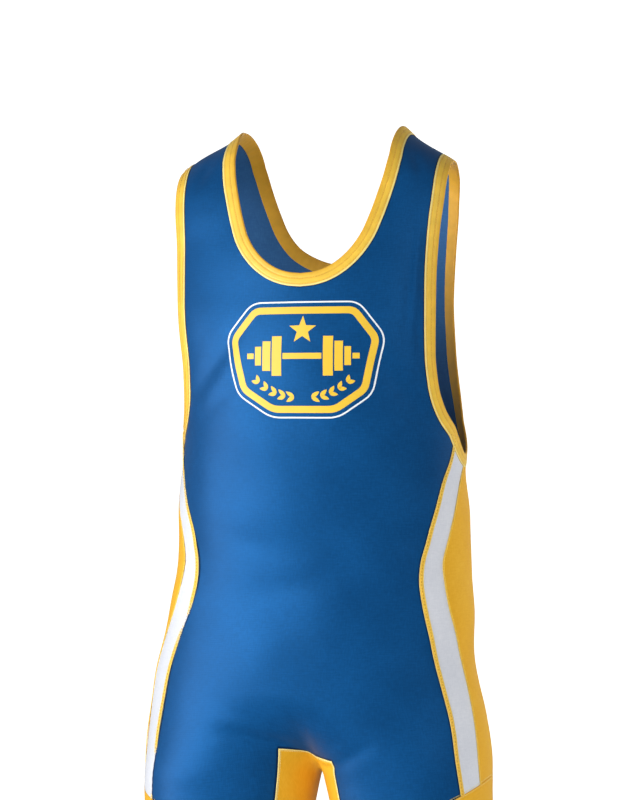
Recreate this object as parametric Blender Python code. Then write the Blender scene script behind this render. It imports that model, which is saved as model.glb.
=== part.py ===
"""A weightlifting singlet, worn and empty, as twelve sewn cloth pieces.

Every piece is a thin wall whose outer face lies on one smooth general figure,
a stack of level ovals that forks into two legs. Seams and edges are curves on
that figure. Each piece fills the space between its curves, so that two pieces
that share a seam share its points.

Metres, +Z up, front towards -Y, the garment's left towards +X.
The origin lies midway between the straps, at the level where they are carried.
"""
import math

import bpy
import numpy as np


def table(columns, rows):
    """Name the columns of a short table of sizes."""
    return dict(zip(columns.split(), np.array(rows, dtype=float).T))


# Cloth and sewing
CLOTH = 0.0012
BOUND_EDGE = 0.0022
CUFF_CLOTH = 0.0018
BOUND_EDGE_PROUD = 0.0005
CUFF_PROUD = 0.0003
SEAM_GAP = 0.0003
BINDING_WIDTH = 0.013
CUFF_DEPTH = 0.048

# The general figure: level ovals of a half width, a front depth and a back depth
OVAL_POWER = 2.15
FIGURE = table("height wide front back", (
    (0.120, 0.056, 0.050, 0.060),
    (0.060, 0.060, 0.052, 0.064),
    (0.030, 0.074, 0.056, 0.070),
    (0.006, 0.098, 0.062, 0.076),
    (-0.016, 0.134, 0.071, 0.084),
    (-0.040, 0.163, 0.080, 0.092),
    (-0.070, 0.172, 0.090, 0.100),
    (-0.110, 0.168, 0.101, 0.108),
    (-0.150, 0.165, 0.110, 0.113),
    (-0.200, 0.160, 0.118, 0.114),
    (-0.250, 0.155, 0.120, 0.110),
    (-0.300, 0.150, 0.117, 0.103),
    (-0.340, 0.150, 0.112, 0.097),
    (-0.380, 0.154, 0.108, 0.091),
    (-0.420, 0.155, 0.104, 0.088),
    (-0.450, 0.157, 0.103, 0.087),
    (-0.480, 0.161, 0.103, 0.090),
    (-0.520, 0.165, 0.104, 0.099),
    (-0.560, 0.172, 0.104, 0.112),
    (-0.600, 0.179, 0.101, 0.122),
    (-0.640, 0.183, 0.096, 0.126),
    (-0.680, 0.184, 0.091, 0.120),
    (-0.730, 0.184, 0.087, 0.108),
    (-0.800, 0.182, 0.083, 0.100),
))
LEG = table("height inner front back", (
    (-0.520, 0.000, 0.099, 0.113),
    (-0.604, 0.000, 0.095, 0.120),
    (-0.644, 0.001, 0.091, 0.118),
    (-0.684, 0.010, 0.087, 0.111),
    (-0.724, 0.018, 0.084, 0.103),
    (-0.800, 0.025, 0.080, 0.096),
))
FORK_TOP = -0.568
FORK_BOTTOM = -0.658
FORK_ROUND = 0.010

# The stance: a sideways sway, with shoulders and hips a little higher on the left
SWAY = table("height shift", (
    (0.100, -0.002),
    (-0.060, -0.0010),
    (-0.150, -0.0015),
    (-0.200, 0.0003),
    (-0.250, 0.0030),
    (-0.300, 0.0048),
    (-0.350, 0.0028),
    (-0.410, 0.0040),
    (-0.480, 0.0010),
    (-0.540, -0.0055),
    (-0.600, -0.0048),
    (-0.700, -0.0033),
    (-0.800, -0.0033),
))
SHOULDER_RISE = 0.020
SHOULDER_RISE_END = -0.300
HIP_RISE = 0.040
HIP_RISE_START = -0.480
HIP_RISE_FULL = -0.660
NECK_SHIFT = 0.0048
GUSSET_SHIFT = 0.0060
GUSSET_SLANT = 0.30
GUSSET_SLANT_REACH = 0.060

# Seams down the side, as turns from straight ahead about the middle of each half
SIDE_SEAMS = table("height front stripe back", (
    (-0.300, 63.0, 90.0, 128.0),
    (-0.330, 58.5, 87.0, 128.0),
    (-0.351, 50.5, 74.5, 127.0),
    (-0.372, 43.5, 65.0, 126.0),
    (-0.393, 37.5, 57.5, 125.0),
    (-0.414, 33.0, 52.0, 124.0),
    (-0.434, 28.5, 47.5, 124.0),
    (-0.455, 27.5, 48.5, 124.0),
    (-0.476, 29.7, 51.3, 124.0),
    (-0.518, 38.5, 63.0, 126.0),
    (-0.560, 44.2, 68.8, 128.0),
    (-0.610, 47.2, 68.3, 130.0),
    (-0.645, 47.4, 68.2, 130.0),
    (-0.681, 50.6, 70.2, 130.0),
    (-0.740, 54.0, 72.0, 130.0),
))

# Edges that the bindings close, from the middle of the neck or the side to the shoulder
NECK_FRONT = table("across height", (
    (0.0000, -0.1516),
    (0.0150, -0.1500),
    (0.0303, -0.1452),
    (0.0454, -0.1360),
    (0.0575, -0.1245),
    (0.0705, -0.1052),
    (0.0784, -0.0848),
    (0.0846, -0.0638),
    (0.0900, -0.0425),
    (0.0935, -0.0208),
))
NECK_BACK = table("across height", (
    (0.000, -0.134),
    (0.018, -0.132),
    (0.038, -0.125),
    (0.058, -0.112),
    (0.072, -0.093),
    (0.081, -0.070),
    (0.088, -0.045),
    (0.0925, -0.020),
))
SHOULDER_AT_NECK = 0.0955
ARM_FRONT = table("across height", (
    (0.1405, -0.304),
    (0.1330, -0.288),
    (0.1275, -0.268),
    (0.1250, -0.240),
    (0.1258, -0.205),
    (0.1266, -0.165),
    (0.1277, -0.124),
    (0.1297, -0.085),
    (0.1318, -0.055),
    (0.1332, -0.032),
))
ARM_BACK = table("across height", (
    (0.1335, -0.296),
    (0.1270, -0.265),
    (0.1220, -0.228),
    (0.1200, -0.183),
    (0.1208, -0.137),
    (0.1238, -0.094),
    (0.1270, -0.060),
    (0.1305, -0.032),
))
SHOULDER_AT_ARM = 0.134
ARM_LOW = -0.336
STRIPE_TOP = -0.327

# The gusset and the leg cuffs
GUSSET_HALF = 0.0275
GUSSET_TOP = {"front": -0.632, "back": -0.630}
GUSSET_AT_CUFF = 0.038
CROTCH_DIP = 0.052
CROTCH_PINCH = 0.017
CUFF_AT_SIDE = -0.666
CUFF_SLOPE = 0.20
CUFF_BOW = 2.0

# Main creases: a soft line through a point, positive heights standing out
FOLDS = table("face across height lean long wide rise", (
    (-1, 0.117, -0.145, 3.0, 0.050, 0.0050, 0.0016),
    (-1, -0.092, -0.230, 38.0, 0.050, 0.0110, -0.0024),
    (-1, 0.098, -0.250, -32.0, 0.036, 0.0100, -0.0016),
    (-1, 0.050, -0.626, 66.0, 0.036, 0.0100, -0.0018),
    (-1, -0.042, -0.621, -74.0, 0.036, 0.0080, -0.0024),
    (-1, 0.010, -0.455, 82.0, 0.060, 0.0140, -0.0012),
    (-1, -0.113, -0.030, 20.0, 0.018, 0.0060, -0.0012),
    (-1, 0.112, -0.026, -20.0, 0.020, 0.0060, -0.0014),
    (1, 0.085, -0.375, -66.0, 0.055, 0.0120, -0.0024),
    (1, -0.078, -0.392, 68.0, 0.060, 0.0120, -0.0024),
    (1, 0.070, -0.430, -70.0, 0.045, 0.0100, -0.0018),
    (1, 0.066, -0.640, -58.0, 0.040, 0.0100, -0.0024),
    (1, -0.068, -0.640, 58.0, 0.042, 0.0100, -0.0024),
))
FOLD_FADE = 0.030

# How points are brought on to the figure: probe length, share of each step, number of steps
PROBE = 0.0002
SETTLE_SHARE = 0.9
SETTLE_STEPS = 14

# A height inside the figure, below every shoulder point
UNDER_SHOULDER = -0.100

# Edges sharper than this, in degrees, are drawn sharp
SHARP_EDGE = 50.0

# Points in the middle of the openings, towards which the bindings run
NECK_OPENING = np.array([0.0, 0.0, 0.03])
ARM_OPENING = np.array([0.17, 0.0, -0.17])

# How finely each stretch is divided
LEG_ROWS = 4
TRUNK_ROWS = 17
CHEST_ROWS = 8
STRAP_ROWS = 9
STRIP_COLUMNS = 7
CENTRE_COLUMNS = 8
STRIPE_COLUMNS = 2
SIDE_COLUMNS = 5
GUSSET_ROWS = 14
BINDING_COLUMNS = 2
CUFF_ROWS = 3

# Where the side strips of the front and back meet the middle
PRINCESS = table("height across", (
    (-0.632, 0.0275),
    (-0.580, 0.037),
    (-0.500, 0.047),
    (-0.300, 0.056),
    (-0.125, 0.0575),
))
CHEST_LEVEL = -0.300

FRONT, BACK = -1, 1
STRAP_LEVEL = {FRONT: -0.1245, BACK: -0.112}
FACE_NAMES = {FRONT: "front", BACK: "back"}

COLOURS = {
    "blue_knit": ("1B5A9C", 0.45),
    "white_knit": ("DADDE4", 0.50),
    "yellow_knit": ("E9B233", 0.50),
    "yellow_binding": ("F5C945", 0.48),
}


def smooth(sizes, column, height):
    """Read a column at a height, on a smooth curve through the table's rows."""
    order = np.argsort(sizes["height"])
    at, value = sizes["height"][order], sizes[column][order]
    slope = np.gradient(value, at)
    height = np.clip(height, at[0], at[-1])
    row = np.clip(np.searchsorted(at, height) - 1, 0, len(at) - 2)
    step = at[row + 1] - at[row]
    s = (height - at[row]) / step
    return ((2 * s**3 - 3 * s**2 + 1) * value[row] + (s**3 - 2 * s**2 + s) * step * slope[row]
            + (3 * s**2 - 2 * s**3) * value[row + 1] + (s**3 - s**2) * step * slope[row + 1])


def ease(start, end, value):
    """Rise from 0 at start to 1 at end with level ends."""
    t = np.clip((value - start) / (end - start), 0.0, 1.0)
    return t * t * (3.0 - 2.0 * t)


def oval(x, y, wide, front, back):
    """Signed distance, nearly, from an oval with its own front and back depths."""
    deep = np.where(y < 0, front, back)
    reach = np.hypot(x, y) + 1e-9
    scaled = (np.abs(x / wide)**OVAL_POWER + np.abs(y / deep)**OVAL_POWER)**(1 / OVAL_POWER)
    return reach * (1.0 - 1.0 / (scaled + 1e-9))


def leg_shape(height):
    """The middle, the half width and the front and back depths of a leg's oval."""
    wide, inner = smooth(FIGURE, "wide", height), smooth(LEG, "inner", height)
    return (wide + inner) / 2, (wide - inner) / 2, smooth(LEG, "front", height), smooth(LEG, "back", height)


def figure(points):
    """Signed distance, nearly, from the general figure: negative inside."""
    x, y, z = points[..., 0], points[..., 1], points[..., 2]
    trunk = oval(x, y, smooth(FIGURE, "wide", z), smooth(FIGURE, "front", z), smooth(FIGURE, "back", z))
    middle, half, front, back = leg_shape(z)
    left = oval(x - middle, y, half, front, back)
    right = oval(x + middle, y, half, front, back)
    near = np.clip(FORK_ROUND - np.abs(left - right), 0, None) / FORK_ROUND
    legs = np.minimum(left, right) - near * near * FORK_ROUND / 4
    forked = ease(FORK_TOP, FORK_BOTTOM, z)
    return (1 - forked) * trunk + forked * legs


def slope_of(points):
    """The gradient of the figure's distance."""
    sides = []
    for axis in np.eye(3) * PROBE:
        sides.append((figure(points + axis) - figure(points - axis)) / (2 * PROBE))
    return np.stack(sides, axis=-1)


def outward(points):
    """Unit normals of the figure."""
    slope = slope_of(points)
    return slope / np.linalg.norm(slope, axis=-1, keepdims=True)


def settle(points):
    """Bring points that lie near the figure on to it, straight along its normals."""
    points = np.array(points, dtype=float)
    for _ in range(SETTLE_STEPS):
        slope = slope_of(points)
        size = np.sum(slope * slope, axis=-1)
        points = points - slope * (figure(points) / size)[..., None] * SETTLE_SHARE
    return points


def cast(origin, direction, reach=0.30, steps=60):
    """Where rays from inside the figure first leave it."""
    origin, direction = np.broadcast_arrays(np.asarray(origin, float), np.asarray(direction, float))
    along = np.linspace(0, reach, steps)
    outside = figure(origin[..., None, :] + direction[..., None, :] * along[:, None]) > 0
    outside[..., 0] = False
    first = np.argmax(outside, axis=-1)
    low, high = along[first - 1], along[first]
    for _ in range(30):
        middle = (low + high) / 2
        beyond = figure(origin + direction * middle[..., None]) > 0
        high = np.where(beyond, middle, high)
        low = np.where(beyond, low, middle)
    return origin + direction * ((low + high) / 2)[..., None]


def face_point(across, height, face):
    """The point of the front or the back at a place across and a height."""
    across, height = np.broadcast_arrays(np.asarray(across, float), np.asarray(height, float))
    origin = np.stack([across, 0 * across, height], axis=-1)
    return cast(origin, np.array([0.0, face, 0.0]))


def side_point(height, turn):
    """The point at a height and a turn in degrees about the middle of the left half."""
    height, turn = np.broadcast_arrays(np.asarray(height, float), np.radians(turn))
    origin = np.stack([smooth(FIGURE, "wide", height) / 2, 0 * height, height], axis=-1)
    return cast(origin, np.stack([np.sin(turn), -np.cos(turn), 0 * turn], axis=-1))


def leg_point(height, turn):
    """The point at a height and a turn in radians about the left leg's own middle."""
    middle, half, front, back = leg_shape(height)
    sine, cosine = np.sin(turn), -np.cos(turn)
    deep = np.where(cosine < 0, front, back)
    radius = (np.abs(sine / half)**OVAL_POWER + np.abs(cosine / deep)**OVAL_POWER)**(-1 / OVAL_POWER)
    return np.stack([middle + radius * sine, radius * cosine, height + 0 * turn], axis=-1)


def resample(points, count):
    """Space a line of points evenly, count steps from end to end."""
    length = np.concatenate([[0], np.cumsum(np.linalg.norm(np.diff(points, axis=0), axis=1))])
    at = np.linspace(0, length[-1], count + 1)
    return np.stack([np.interp(at, length, points[:, k]) for k in range(3)], axis=1)


def spline(columns, count=160):
    """A smooth curve through rows of numbers, by the chord between them."""
    rows = np.stack(columns, axis=1)
    chord = np.concatenate([[0], np.cumsum(np.linalg.norm(np.diff(rows, axis=0), axis=1))])
    at = np.linspace(0, chord[-1], count)
    return [smooth({"height": chord, "value": rows[:, k]}, "value", at) for k in range(rows.shape[1])]


def top_point(across, depth):
    """The point of the shoulders above a place across and front to back."""
    across, depth = np.broadcast_arrays(np.asarray(across, float), np.asarray(depth, float))
    origin = np.stack([across, depth, np.full(across.shape, UNDER_SHOULDER)], axis=-1)
    return cast(origin, np.array([0.0, 0.0, 1.0]))


def bound_edge(edge, face, crest):
    """A bound edge on the front or the back, from its low end to the shoulder seam."""
    across, height = spline([edge["across"], edge["height"]])
    rising = face_point(across, height, face)
    over = np.linspace(0, 1, 20)[1:]
    last = rising[-1]
    return np.vstack([rising, top_point(last[0] + (crest - last[0]) * over, last[1] * (1 - over))])


def cuff_level(point):
    """The height of the cuff seam at a place: highest at the side, lower to front, back and inside."""
    away = smooth(FIGURE, "wide", CUFF_AT_SIDE) - point[..., 0]
    return CUFF_AT_SIDE - CUFF_SLOPE * away - CUFF_BOW * point[..., 1]**2


def split(line, height):
    """Cut a rising line of points in two at a height."""
    row = int(np.argmin(np.abs(line[:, 2] - height)))
    return line[:row + 1], line[row:]


def patch(low, high, first, last):
    """Fill four edges with rows and columns of points, and settle them on the figure."""
    u = np.linspace(0, 1, len(low))[None, :, None]
    v = np.linspace(0, 1, len(first))[:, None, None]
    across = (1 - u) * first[:, None] + u * last[:, None]
    along = (1 - v) * low[None] + v * high[None]
    corners = (1 - v) * ((1 - u) * low[0] + u * low[-1]) + v * ((1 - u) * high[0] + u * high[-1])
    grid = settle(across + along - corners)
    grid[0], grid[-1], grid[:, 0], grid[:, -1] = low, high, first, last
    return grid


def mirrored(grid):
    """The same points on the other side."""
    return grid * np.array([-1.0, 1.0, 1.0])


def level_row(first, last, columns):
    """A row of points on the figure between two of its points."""
    u = np.linspace(0, 1, columns + 1)[:, None]
    row = settle((1 - u) * first + u * last)
    row[0], row[-1] = first, last
    return row


def seam_line(column, low, high, count):
    """A side seam between two heights."""
    heights = np.linspace(low, high, count + 1)
    return side_point(heights, smooth(SIDE_SEAMS, column, heights))


def seam_foot(column):
    """The height at which a side seam meets the cuff."""
    level = CUFF_AT_SIDE
    for _ in range(6):
        level = float(cuff_level(side_point(level, smooth(SIDE_SEAMS, column, level))))
    return level


def gusset_foot(face):
    """The height at which the gusset seam meets the cuff."""
    level = CUFF_AT_SIDE
    for _ in range(6):
        level = float(cuff_level(face_point(GUSSET_AT_CUFF, level, face)))
    return level


def gusset_seam(face, count=LEG_ROWS):
    """The seam between gusset and panel on the left leg, from the cuff up to its corner."""
    top = GUSSET_TOP[FACE_NAMES[face]]
    heights = np.linspace(gusset_foot(face), top, count + 1)
    across = GUSSET_AT_CUFF + (GUSSET_HALF - GUSSET_AT_CUFF) * np.linspace(0, 1, count + 1)
    return face_point(across, heights, face)


def lay_out():
    """Work out every seam of the left half once, so that neighbours share its points."""
    lines = {}
    for face, column, arm, neck in ((FRONT, "front", ARM_FRONT, NECK_FRONT),
                                    (BACK, "back", ARM_BACK, NECK_BACK)):
        gusset_top = GUSSET_TOP[column]
        arm_line = bound_edge(arm, face, SHOULDER_AT_ARM)
        neck_line = bound_edge(neck, face, SHOULDER_AT_NECK)
        arm_chest, arm_strap = split(arm_line, STRAP_LEVEL[face])
        neck_low, neck_side = split(neck_line, STRAP_LEVEL[face])
        corner = arm_line[0]
        leg_out = seam_line(column, seam_foot(column), gusset_top, LEG_ROWS)
        trunk_out = seam_line(column, gusset_top, corner[2], TRUNK_ROWS)
        trunk_out[-1] = corner
        chest_heights = np.linspace(gusset_top, CHEST_LEVEL, TRUNK_ROWS + 1)
        trunk_in = face_point(smooth(PRINCESS, "across", chest_heights), chest_heights, face)
        leg_in = gusset_seam(face)
        trunk_in[0] = leg_in[-1]
        ends = np.linspace(CHEST_LEVEL, neck_low[-1][2], CHEST_ROWS + 1)
        chest_in = face_point(np.linspace(trunk_in[-1][0], neck_low[-1][0], CHEST_ROWS + 1), ends, face)
        chest_in[0], chest_in[-1] = trunk_in[-1], neck_low[-1]
        lines[face] = {
            "leg_in": leg_in, "leg_out": leg_out,
            "trunk_in": trunk_in, "trunk_out": trunk_out,
            "chest_in": chest_in, "chest_out": resample(arm_chest, CHEST_ROWS),
            "strap_in": resample(neck_side, STRAP_ROWS), "strap_out": resample(arm_strap, STRAP_ROWS),
            "neck_low": resample(neck_low, CENTRE_COLUMNS // 2),
        }
    return lines


def cloth_panel(line):
    """The grids of the front or the back: two strips from cuff to shoulder, and the middle."""
    foot = foot_row(line["leg_in"][0], line["leg_out"][0], STRIP_COLUMNS)
    hip = level_row(line["trunk_in"][0], line["trunk_out"][0], STRIP_COLUMNS)
    chest = level_row(line["trunk_in"][-1], line["trunk_out"][-1], STRIP_COLUMNS)
    strap = level_row(line["strap_in"][0], line["strap_out"][0], STRIP_COLUMNS)
    strips = [
        patch(foot, hip, line["leg_in"], line["leg_out"]),
        patch(hip, chest, line["trunk_in"], line["trunk_out"]),
        patch(chest, strap, line["chest_in"], line["chest_out"]),
        patch(strap, shoulder_row(), line["strap_in"], line["strap_out"]),
    ]
    low = gusset_top_row(line)
    middle = level_row(mirrored(line["trunk_in"][-1]), line["trunk_in"][-1], CENTRE_COLUMNS)
    high = np.vstack([mirrored(line["neck_low"][::-1]), line["neck_low"][1:]])
    centre = [
        patch(low, middle, mirrored(line["trunk_in"]), line["trunk_in"]),
        patch(middle, high, mirrored(line["chest_in"]), line["chest_in"]),
    ]
    return strips + [mirrored(grid) for grid in strips] + centre


def shoulder_row():
    """The shoulder seam from the neck edge to the arm edge."""
    across = np.linspace(SHOULDER_AT_NECK, SHOULDER_AT_ARM, STRIP_COLUMNS + 1)
    return top_point(across, 0.0)


def gusset_top_row(line):
    """The level edge where the gusset meets the middle of a panel."""
    corner = line["trunk_in"][0]
    across = np.linspace(-corner[0], corner[0], CENTRE_COLUMNS + 1)
    row = face_point(across, corner[2], FRONT if corner[1] < 0 else BACK)
    row[0], row[-1] = mirrored(corner), corner
    return row


def turn_of(point):
    """The turn of a point about the left leg's middle."""
    middle = leg_shape(point[2])[0]
    return math.atan2(point[0] - middle, -point[1])


def leg_turns(first, last, columns):
    """Even turns about the leg from one point to another, by the shorter way round."""
    start = turn_of(first)
    swing = (turn_of(last) - start + math.pi) % (2 * math.pi) - math.pi
    return np.linspace(start, start + swing, columns + 1)


def foot_row(first, last, columns):
    """A row of points along the cuff seam, from one point of it to another."""
    turns = leg_turns(first, last, columns)
    level = np.full(len(turns), CUFF_AT_SIDE)
    for _ in range(8):
        level = cuff_level(leg_point(level, turns))
    row = leg_point(level, turns)
    row[0], row[-1] = first, last
    return row


def underarm(lines):
    """The armhole's edge below the arm, from the front panel's corner to the back's."""
    start, end = lines[FRONT]["trunk_out"][-1], lines[BACK]["trunk_out"][-1]
    stations = np.array([start[1], (start[1] + end[1]) / 2, end[1]])
    bowl = np.polyfit(stations, np.array([start[2], ARM_LOW, end[2]]), 2)
    y = np.linspace(start[1], end[1], 120)
    z = np.polyval(bowl, y)
    deep = np.where(y < 0, smooth(FIGURE, "front", z), smooth(FIGURE, "back", z))
    x = smooth(FIGURE, "wide", z) * (1 - np.abs(y / deep)**OVAL_POWER)**(1 / OVAL_POWER)
    return np.stack([x, y, z], axis=1)


def lay_out_side(lines):
    """The rows and edges of the stripe and the side piece, with the seam between them."""
    under = underarm(lines)
    seam = np.vstack([seam_line("stripe", seam_foot("stripe"), GUSSET_TOP["front"], LEG_ROWS),
                      seam_line("stripe", GUSSET_TOP["front"], STRIPE_TOP, TRUNK_ROWS)[1:]])
    meet = int(np.argmin(np.abs(under[:, 1] - seam[-1][1])))
    seam[-1] = under[meet]
    front = np.vstack([lines[FRONT]["leg_out"], lines[FRONT]["trunk_out"][1:]])
    back = np.vstack([lines[BACK]["leg_out"], lines[BACK]["trunk_out"][1:]])
    return {
        "front": front, "seam": seam, "back": back,
        "stripe_top": resample(under[:meet + 1], STRIPE_COLUMNS),
        "side_top": resample(under[meet:], SIDE_COLUMNS),
        "stripe_foot": foot_row(front[0], seam[0], STRIPE_COLUMNS),
        "side_foot": foot_row(seam[0], back[0], SIDE_COLUMNS),
    }


def stripe_grids(side):
    """The white stripe between the front panel and the side piece."""
    return [patch(side["stripe_foot"], side["stripe_top"], side["front"], side["seam"])]


def side_grids(side):
    """The side piece between the stripe and the back panel."""
    return [patch(side["side_foot"], side["side_top"], side["seam"], side["back"])]


def inner_foot(lines):
    """The cuff seam's stretch along the inside of the leg."""
    return foot_row(lines[FRONT]["leg_in"][0], lines[BACK]["leg_in"][0], GUSSET_ROWS)


def gusset_grids(lines):
    """The gusset: two inner legs joined under the fork."""
    front, back = lines[FRONT]["leg_in"], lines[BACK]["leg_in"]
    t = np.linspace(0, 1, GUSSET_ROWS + 1)[:, None]
    bow = np.sin(math.pi * t) * np.array([CROTCH_PINCH, 0.0, CROTCH_DIP])
    beside = settle((1 - t) * front[-1] + t * back[-1] - bow)
    beside[0], beside[-1] = front[-1], back[-1]
    leg = patch(inner_foot(lines), beside, front, back)
    under = patch(gusset_top_row(lines[FRONT]), gusset_top_row(lines[BACK]), mirrored(beside), beside)
    return [leg, mirrored(leg), under]


def cuff_grids(lines, side):
    """A leg's cuff: rings at even drops below the seam, through the points of all it joins."""
    front_foot = foot_row(lines[FRONT]["leg_in"][0], lines[FRONT]["leg_out"][0], STRIP_COLUMNS)
    back_foot = foot_row(lines[BACK]["leg_in"][0], lines[BACK]["leg_out"][0], STRIP_COLUMNS)
    ring = np.vstack([front_foot, side["stripe_foot"][1:], side["side_foot"][1:],
                      back_foot[::-1][1:], inner_foot(lines)[::-1][1:]])
    turns = np.array([turn_of(point) for point in ring])
    drops = np.linspace(0, CUFF_DEPTH, CUFF_ROWS + 1)[1:]
    return [np.stack([ring] + [leg_point(ring[:, 2] - drop, turns) for drop in drops])]


def neck_edge(lines):
    """The closed edge of the neck."""
    front = np.vstack([lines[FRONT]["neck_low"], lines[FRONT]["strap_in"][1:]])
    back = np.vstack([lines[BACK]["neck_low"], lines[BACK]["strap_in"][1:]])
    half = np.vstack([front, back[::-1][1:]])
    return np.vstack([half, mirrored(half[::-1][1:-1])])


def arm_edge(lines, side):
    """The closed edge of the left armhole."""
    front, back = lines[FRONT], lines[BACK]
    over = [front["chest_out"], front["strap_out"][1:]]
    over += [back["strap_out"][::-1][1:], back["chest_out"][::-1][1:]]
    under = [side["side_top"][::-1][1:], side["stripe_top"][::-1][1:-1]]
    return np.vstack(over + under)


def binding_grids(edge, opening):
    """A strip that runs on from a closed edge towards its opening, as wide as the binding."""
    tangent = np.roll(edge, -1, axis=0) - np.roll(edge, 1, axis=0)
    side = np.cross(outward(edge), tangent)
    side /= np.linalg.norm(side, axis=1, keepdims=True)
    side *= np.sign(np.sum(side * (opening - edge)))
    widths = np.linspace(0, BINDING_WIDTH, BINDING_COLUMNS + 1)[1:]
    grid = np.stack([edge] + [settle(edge + side * width) for width in widths])
    return [np.concatenate([grid, grid[:, :1]], axis=1)]


def weld(grids):
    """Join grids into one sheet of points and outward quads."""
    points, quads, start = [], [], 0
    for grid in grids:
        rows, columns = grid.shape[:2]
        index = start + np.arange(rows * columns).reshape(rows, columns)
        quad = np.stack([index[:-1, :-1], index[:-1, 1:], index[1:, 1:], index[1:, :-1]], axis=-1)
        flat = grid.reshape(-1, 3)
        corner = flat[quad.reshape(-1, 4) - start]
        turned = np.cross(corner[:, 2] - corner[:, 0], corner[:, 3] - corner[:, 1])
        if np.sum(turned * outward(corner.mean(axis=1))) < 0:
            quad = quad[..., ::-1]
        points.append(flat)
        quads.append(quad.reshape(-1, 4))
        start += len(flat)
    points, quads = np.vstack(points), np.vstack(quads)
    _, first, same = np.unique(np.round(points, 6), axis=0, return_index=True, return_inverse=True)
    return points[first], same.reshape(-1)[quads]


def rim_edges(quads):
    """The directed edges that only one quad has."""
    edges = np.vstack([quads[:, [k, (k + 1) % 4]] for k in range(4)])
    kept = set(map(tuple, edges))
    return np.array([edge for edge in edges if (edge[1], edge[0]) not in kept])


def fold_relief(points):
    """How far the main creases move the cloth along its normal."""
    rise = np.zeros(points.shape[:-1])
    for row in zip(*FOLDS.values()):
        face, across, height, lean, long, wide, amount = row
        tilt = math.radians(lean)
        dx, dz = points[..., 0] - across, points[..., 2] - height
        along = dx * math.sin(tilt) + dz * math.cos(tilt)
        beside = dx * math.cos(tilt) - dz * math.sin(tilt)
        bell = np.exp(-(along / long)**2 - (beside / wide)**2)
        rise += amount * bell * ease(0, FOLD_FADE, points[..., 1] * face)
    return rise


def posed(points):
    """Move points from the upright figure to the stance."""
    x, y, z = points[..., 0], points[..., 1], points[..., 2]
    shoulders = SHOULDER_RISE * ease(SHOULDER_RISE_END, 0.0, z)
    hips = HIP_RISE * ease(HIP_RISE_START, HIP_RISE_FULL, z)
    middle = np.exp(-(x / GUSSET_SLANT_REACH)**2)
    slant = middle * np.exp(-((z - GUSSET_TOP["front"]) / GUSSET_SLANT_REACH)**2)
    shift = smooth(SWAY, "shift", z)
    shift = shift + NECK_SHIFT * ease(0.128, 0.085, np.abs(x)) * ease(-0.260, -0.150, z)
    shift = shift + GUSSET_SHIFT * middle * ease(-0.560, -0.630, z)
    return np.stack([x + shift, y, z + x * (shoulders + hips - GUSSET_SLANT * slant)], axis=-1)


def seam_pull(points, normals, edges):
    """Steps along the cloth that draw its border in from the seam lines."""
    sides = {}
    for a, b in edges:
        inward = np.cross(normals[a] + normals[b], points[b] - points[a])
        inward /= np.linalg.norm(inward)
        sides.setdefault(a, []).append(inward)
        sides.setdefault(b, []).append(inward)
    pull = np.zeros_like(points)
    for end, (one, other) in sides.items():
        pull[end] = (one + other) / (1.0 + float(np.dot(one, other)))
    return pull * SEAM_GAP / 2


def wall(grids, thickness, proud=0.0):
    """A closed wall: an outer sheet, an inner sheet and the rim between them."""
    points, quads = weld(grids)
    normals = outward(points)
    edges = rim_edges(quads)
    base = points + normals * fold_relief(points)[:, None] + seam_pull(points, normals, edges)
    outer = posed(base + normals * proud)
    inner = posed(base + normals * (proud - thickness))
    total = len(points)
    rim = np.stack([edges[:, 1], edges[:, 0], edges[:, 0] + total, edges[:, 1] + total], axis=1)
    faces = np.vstack([quads, quads[:, ::-1] + total, rim])
    return np.vstack([outer, inner]), faces


def linear(value):
    """One channel of an sRGB colour as linear light."""
    return value / 12.92 if value <= 0.04045 else ((value + 0.055) / 1.055)**2.4


def finish_material(name):
    """The material of one knit."""
    code, roughness = COLOURS[name]
    material = bpy.data.materials.new(name)
    material.use_nodes = True
    shader = material.node_tree.nodes["Principled BSDF"]
    channels = [linear(int(code[k:k + 2], 16) / 255) for k in (0, 2, 4)]
    shader.inputs["Base Color"].default_value = (*channels, 1.0)
    shader.inputs["Roughness"].default_value = roughness
    return material


def add_piece(name, material, grids, thickness, proud=0.0):
    """Make one named cloth piece."""
    points, faces = wall(grids, thickness, proud)
    mesh = bpy.data.meshes.new(name)
    mesh.from_pydata(points.tolist(), [], faces.tolist())
    mesh.validate()
    mesh.shade_smooth()
    mesh.set_sharp_from_angle(angle=math.radians(SHARP_EDGE))
    mesh.materials.append(material)
    bpy.context.scene.collection.objects.link(bpy.data.objects.new(name, mesh))


def add_pair(name, material, grids, thickness, proud=0.0):
    """Make a piece of the left half and its twin on the right."""
    add_piece(name + "_left", material, grids, thickness, proud)
    add_piece(name + "_right", material, [mirrored(grid) for grid in grids], thickness, proud)


def main():
    for old in list(bpy.data.objects):
        bpy.data.objects.remove(old, do_unlink=True)
    blue, white = finish_material("blue_knit"), finish_material("white_knit")
    yellow, bound = finish_material("yellow_knit"), finish_material("yellow_binding")
    lines = lay_out()
    side = lay_out_side(lines)

    add_piece("front_panel", blue, cloth_panel(lines[FRONT]), CLOTH)
    add_piece("back_panel", blue, cloth_panel(lines[BACK]), CLOTH)
    add_pair("stripe", white, stripe_grids(side), CLOTH)
    add_pair("side", yellow, side_grids(side), CLOTH)
    add_piece("gusset", yellow, gusset_grids(lines), CLOTH)
    add_pair("cuff", yellow, cuff_grids(lines, side), CUFF_CLOTH, CUFF_PROUD)
    neck = binding_grids(neck_edge(lines), NECK_OPENING)
    add_piece("neck_binding", bound, neck, BOUND_EDGE, BOUND_EDGE_PROUD)
    arm = binding_grids(arm_edge(lines, side), ARM_OPENING)
    add_pair("armhole_binding", bound, arm, BOUND_EDGE, BOUND_EDGE_PROUD)


main()
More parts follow.
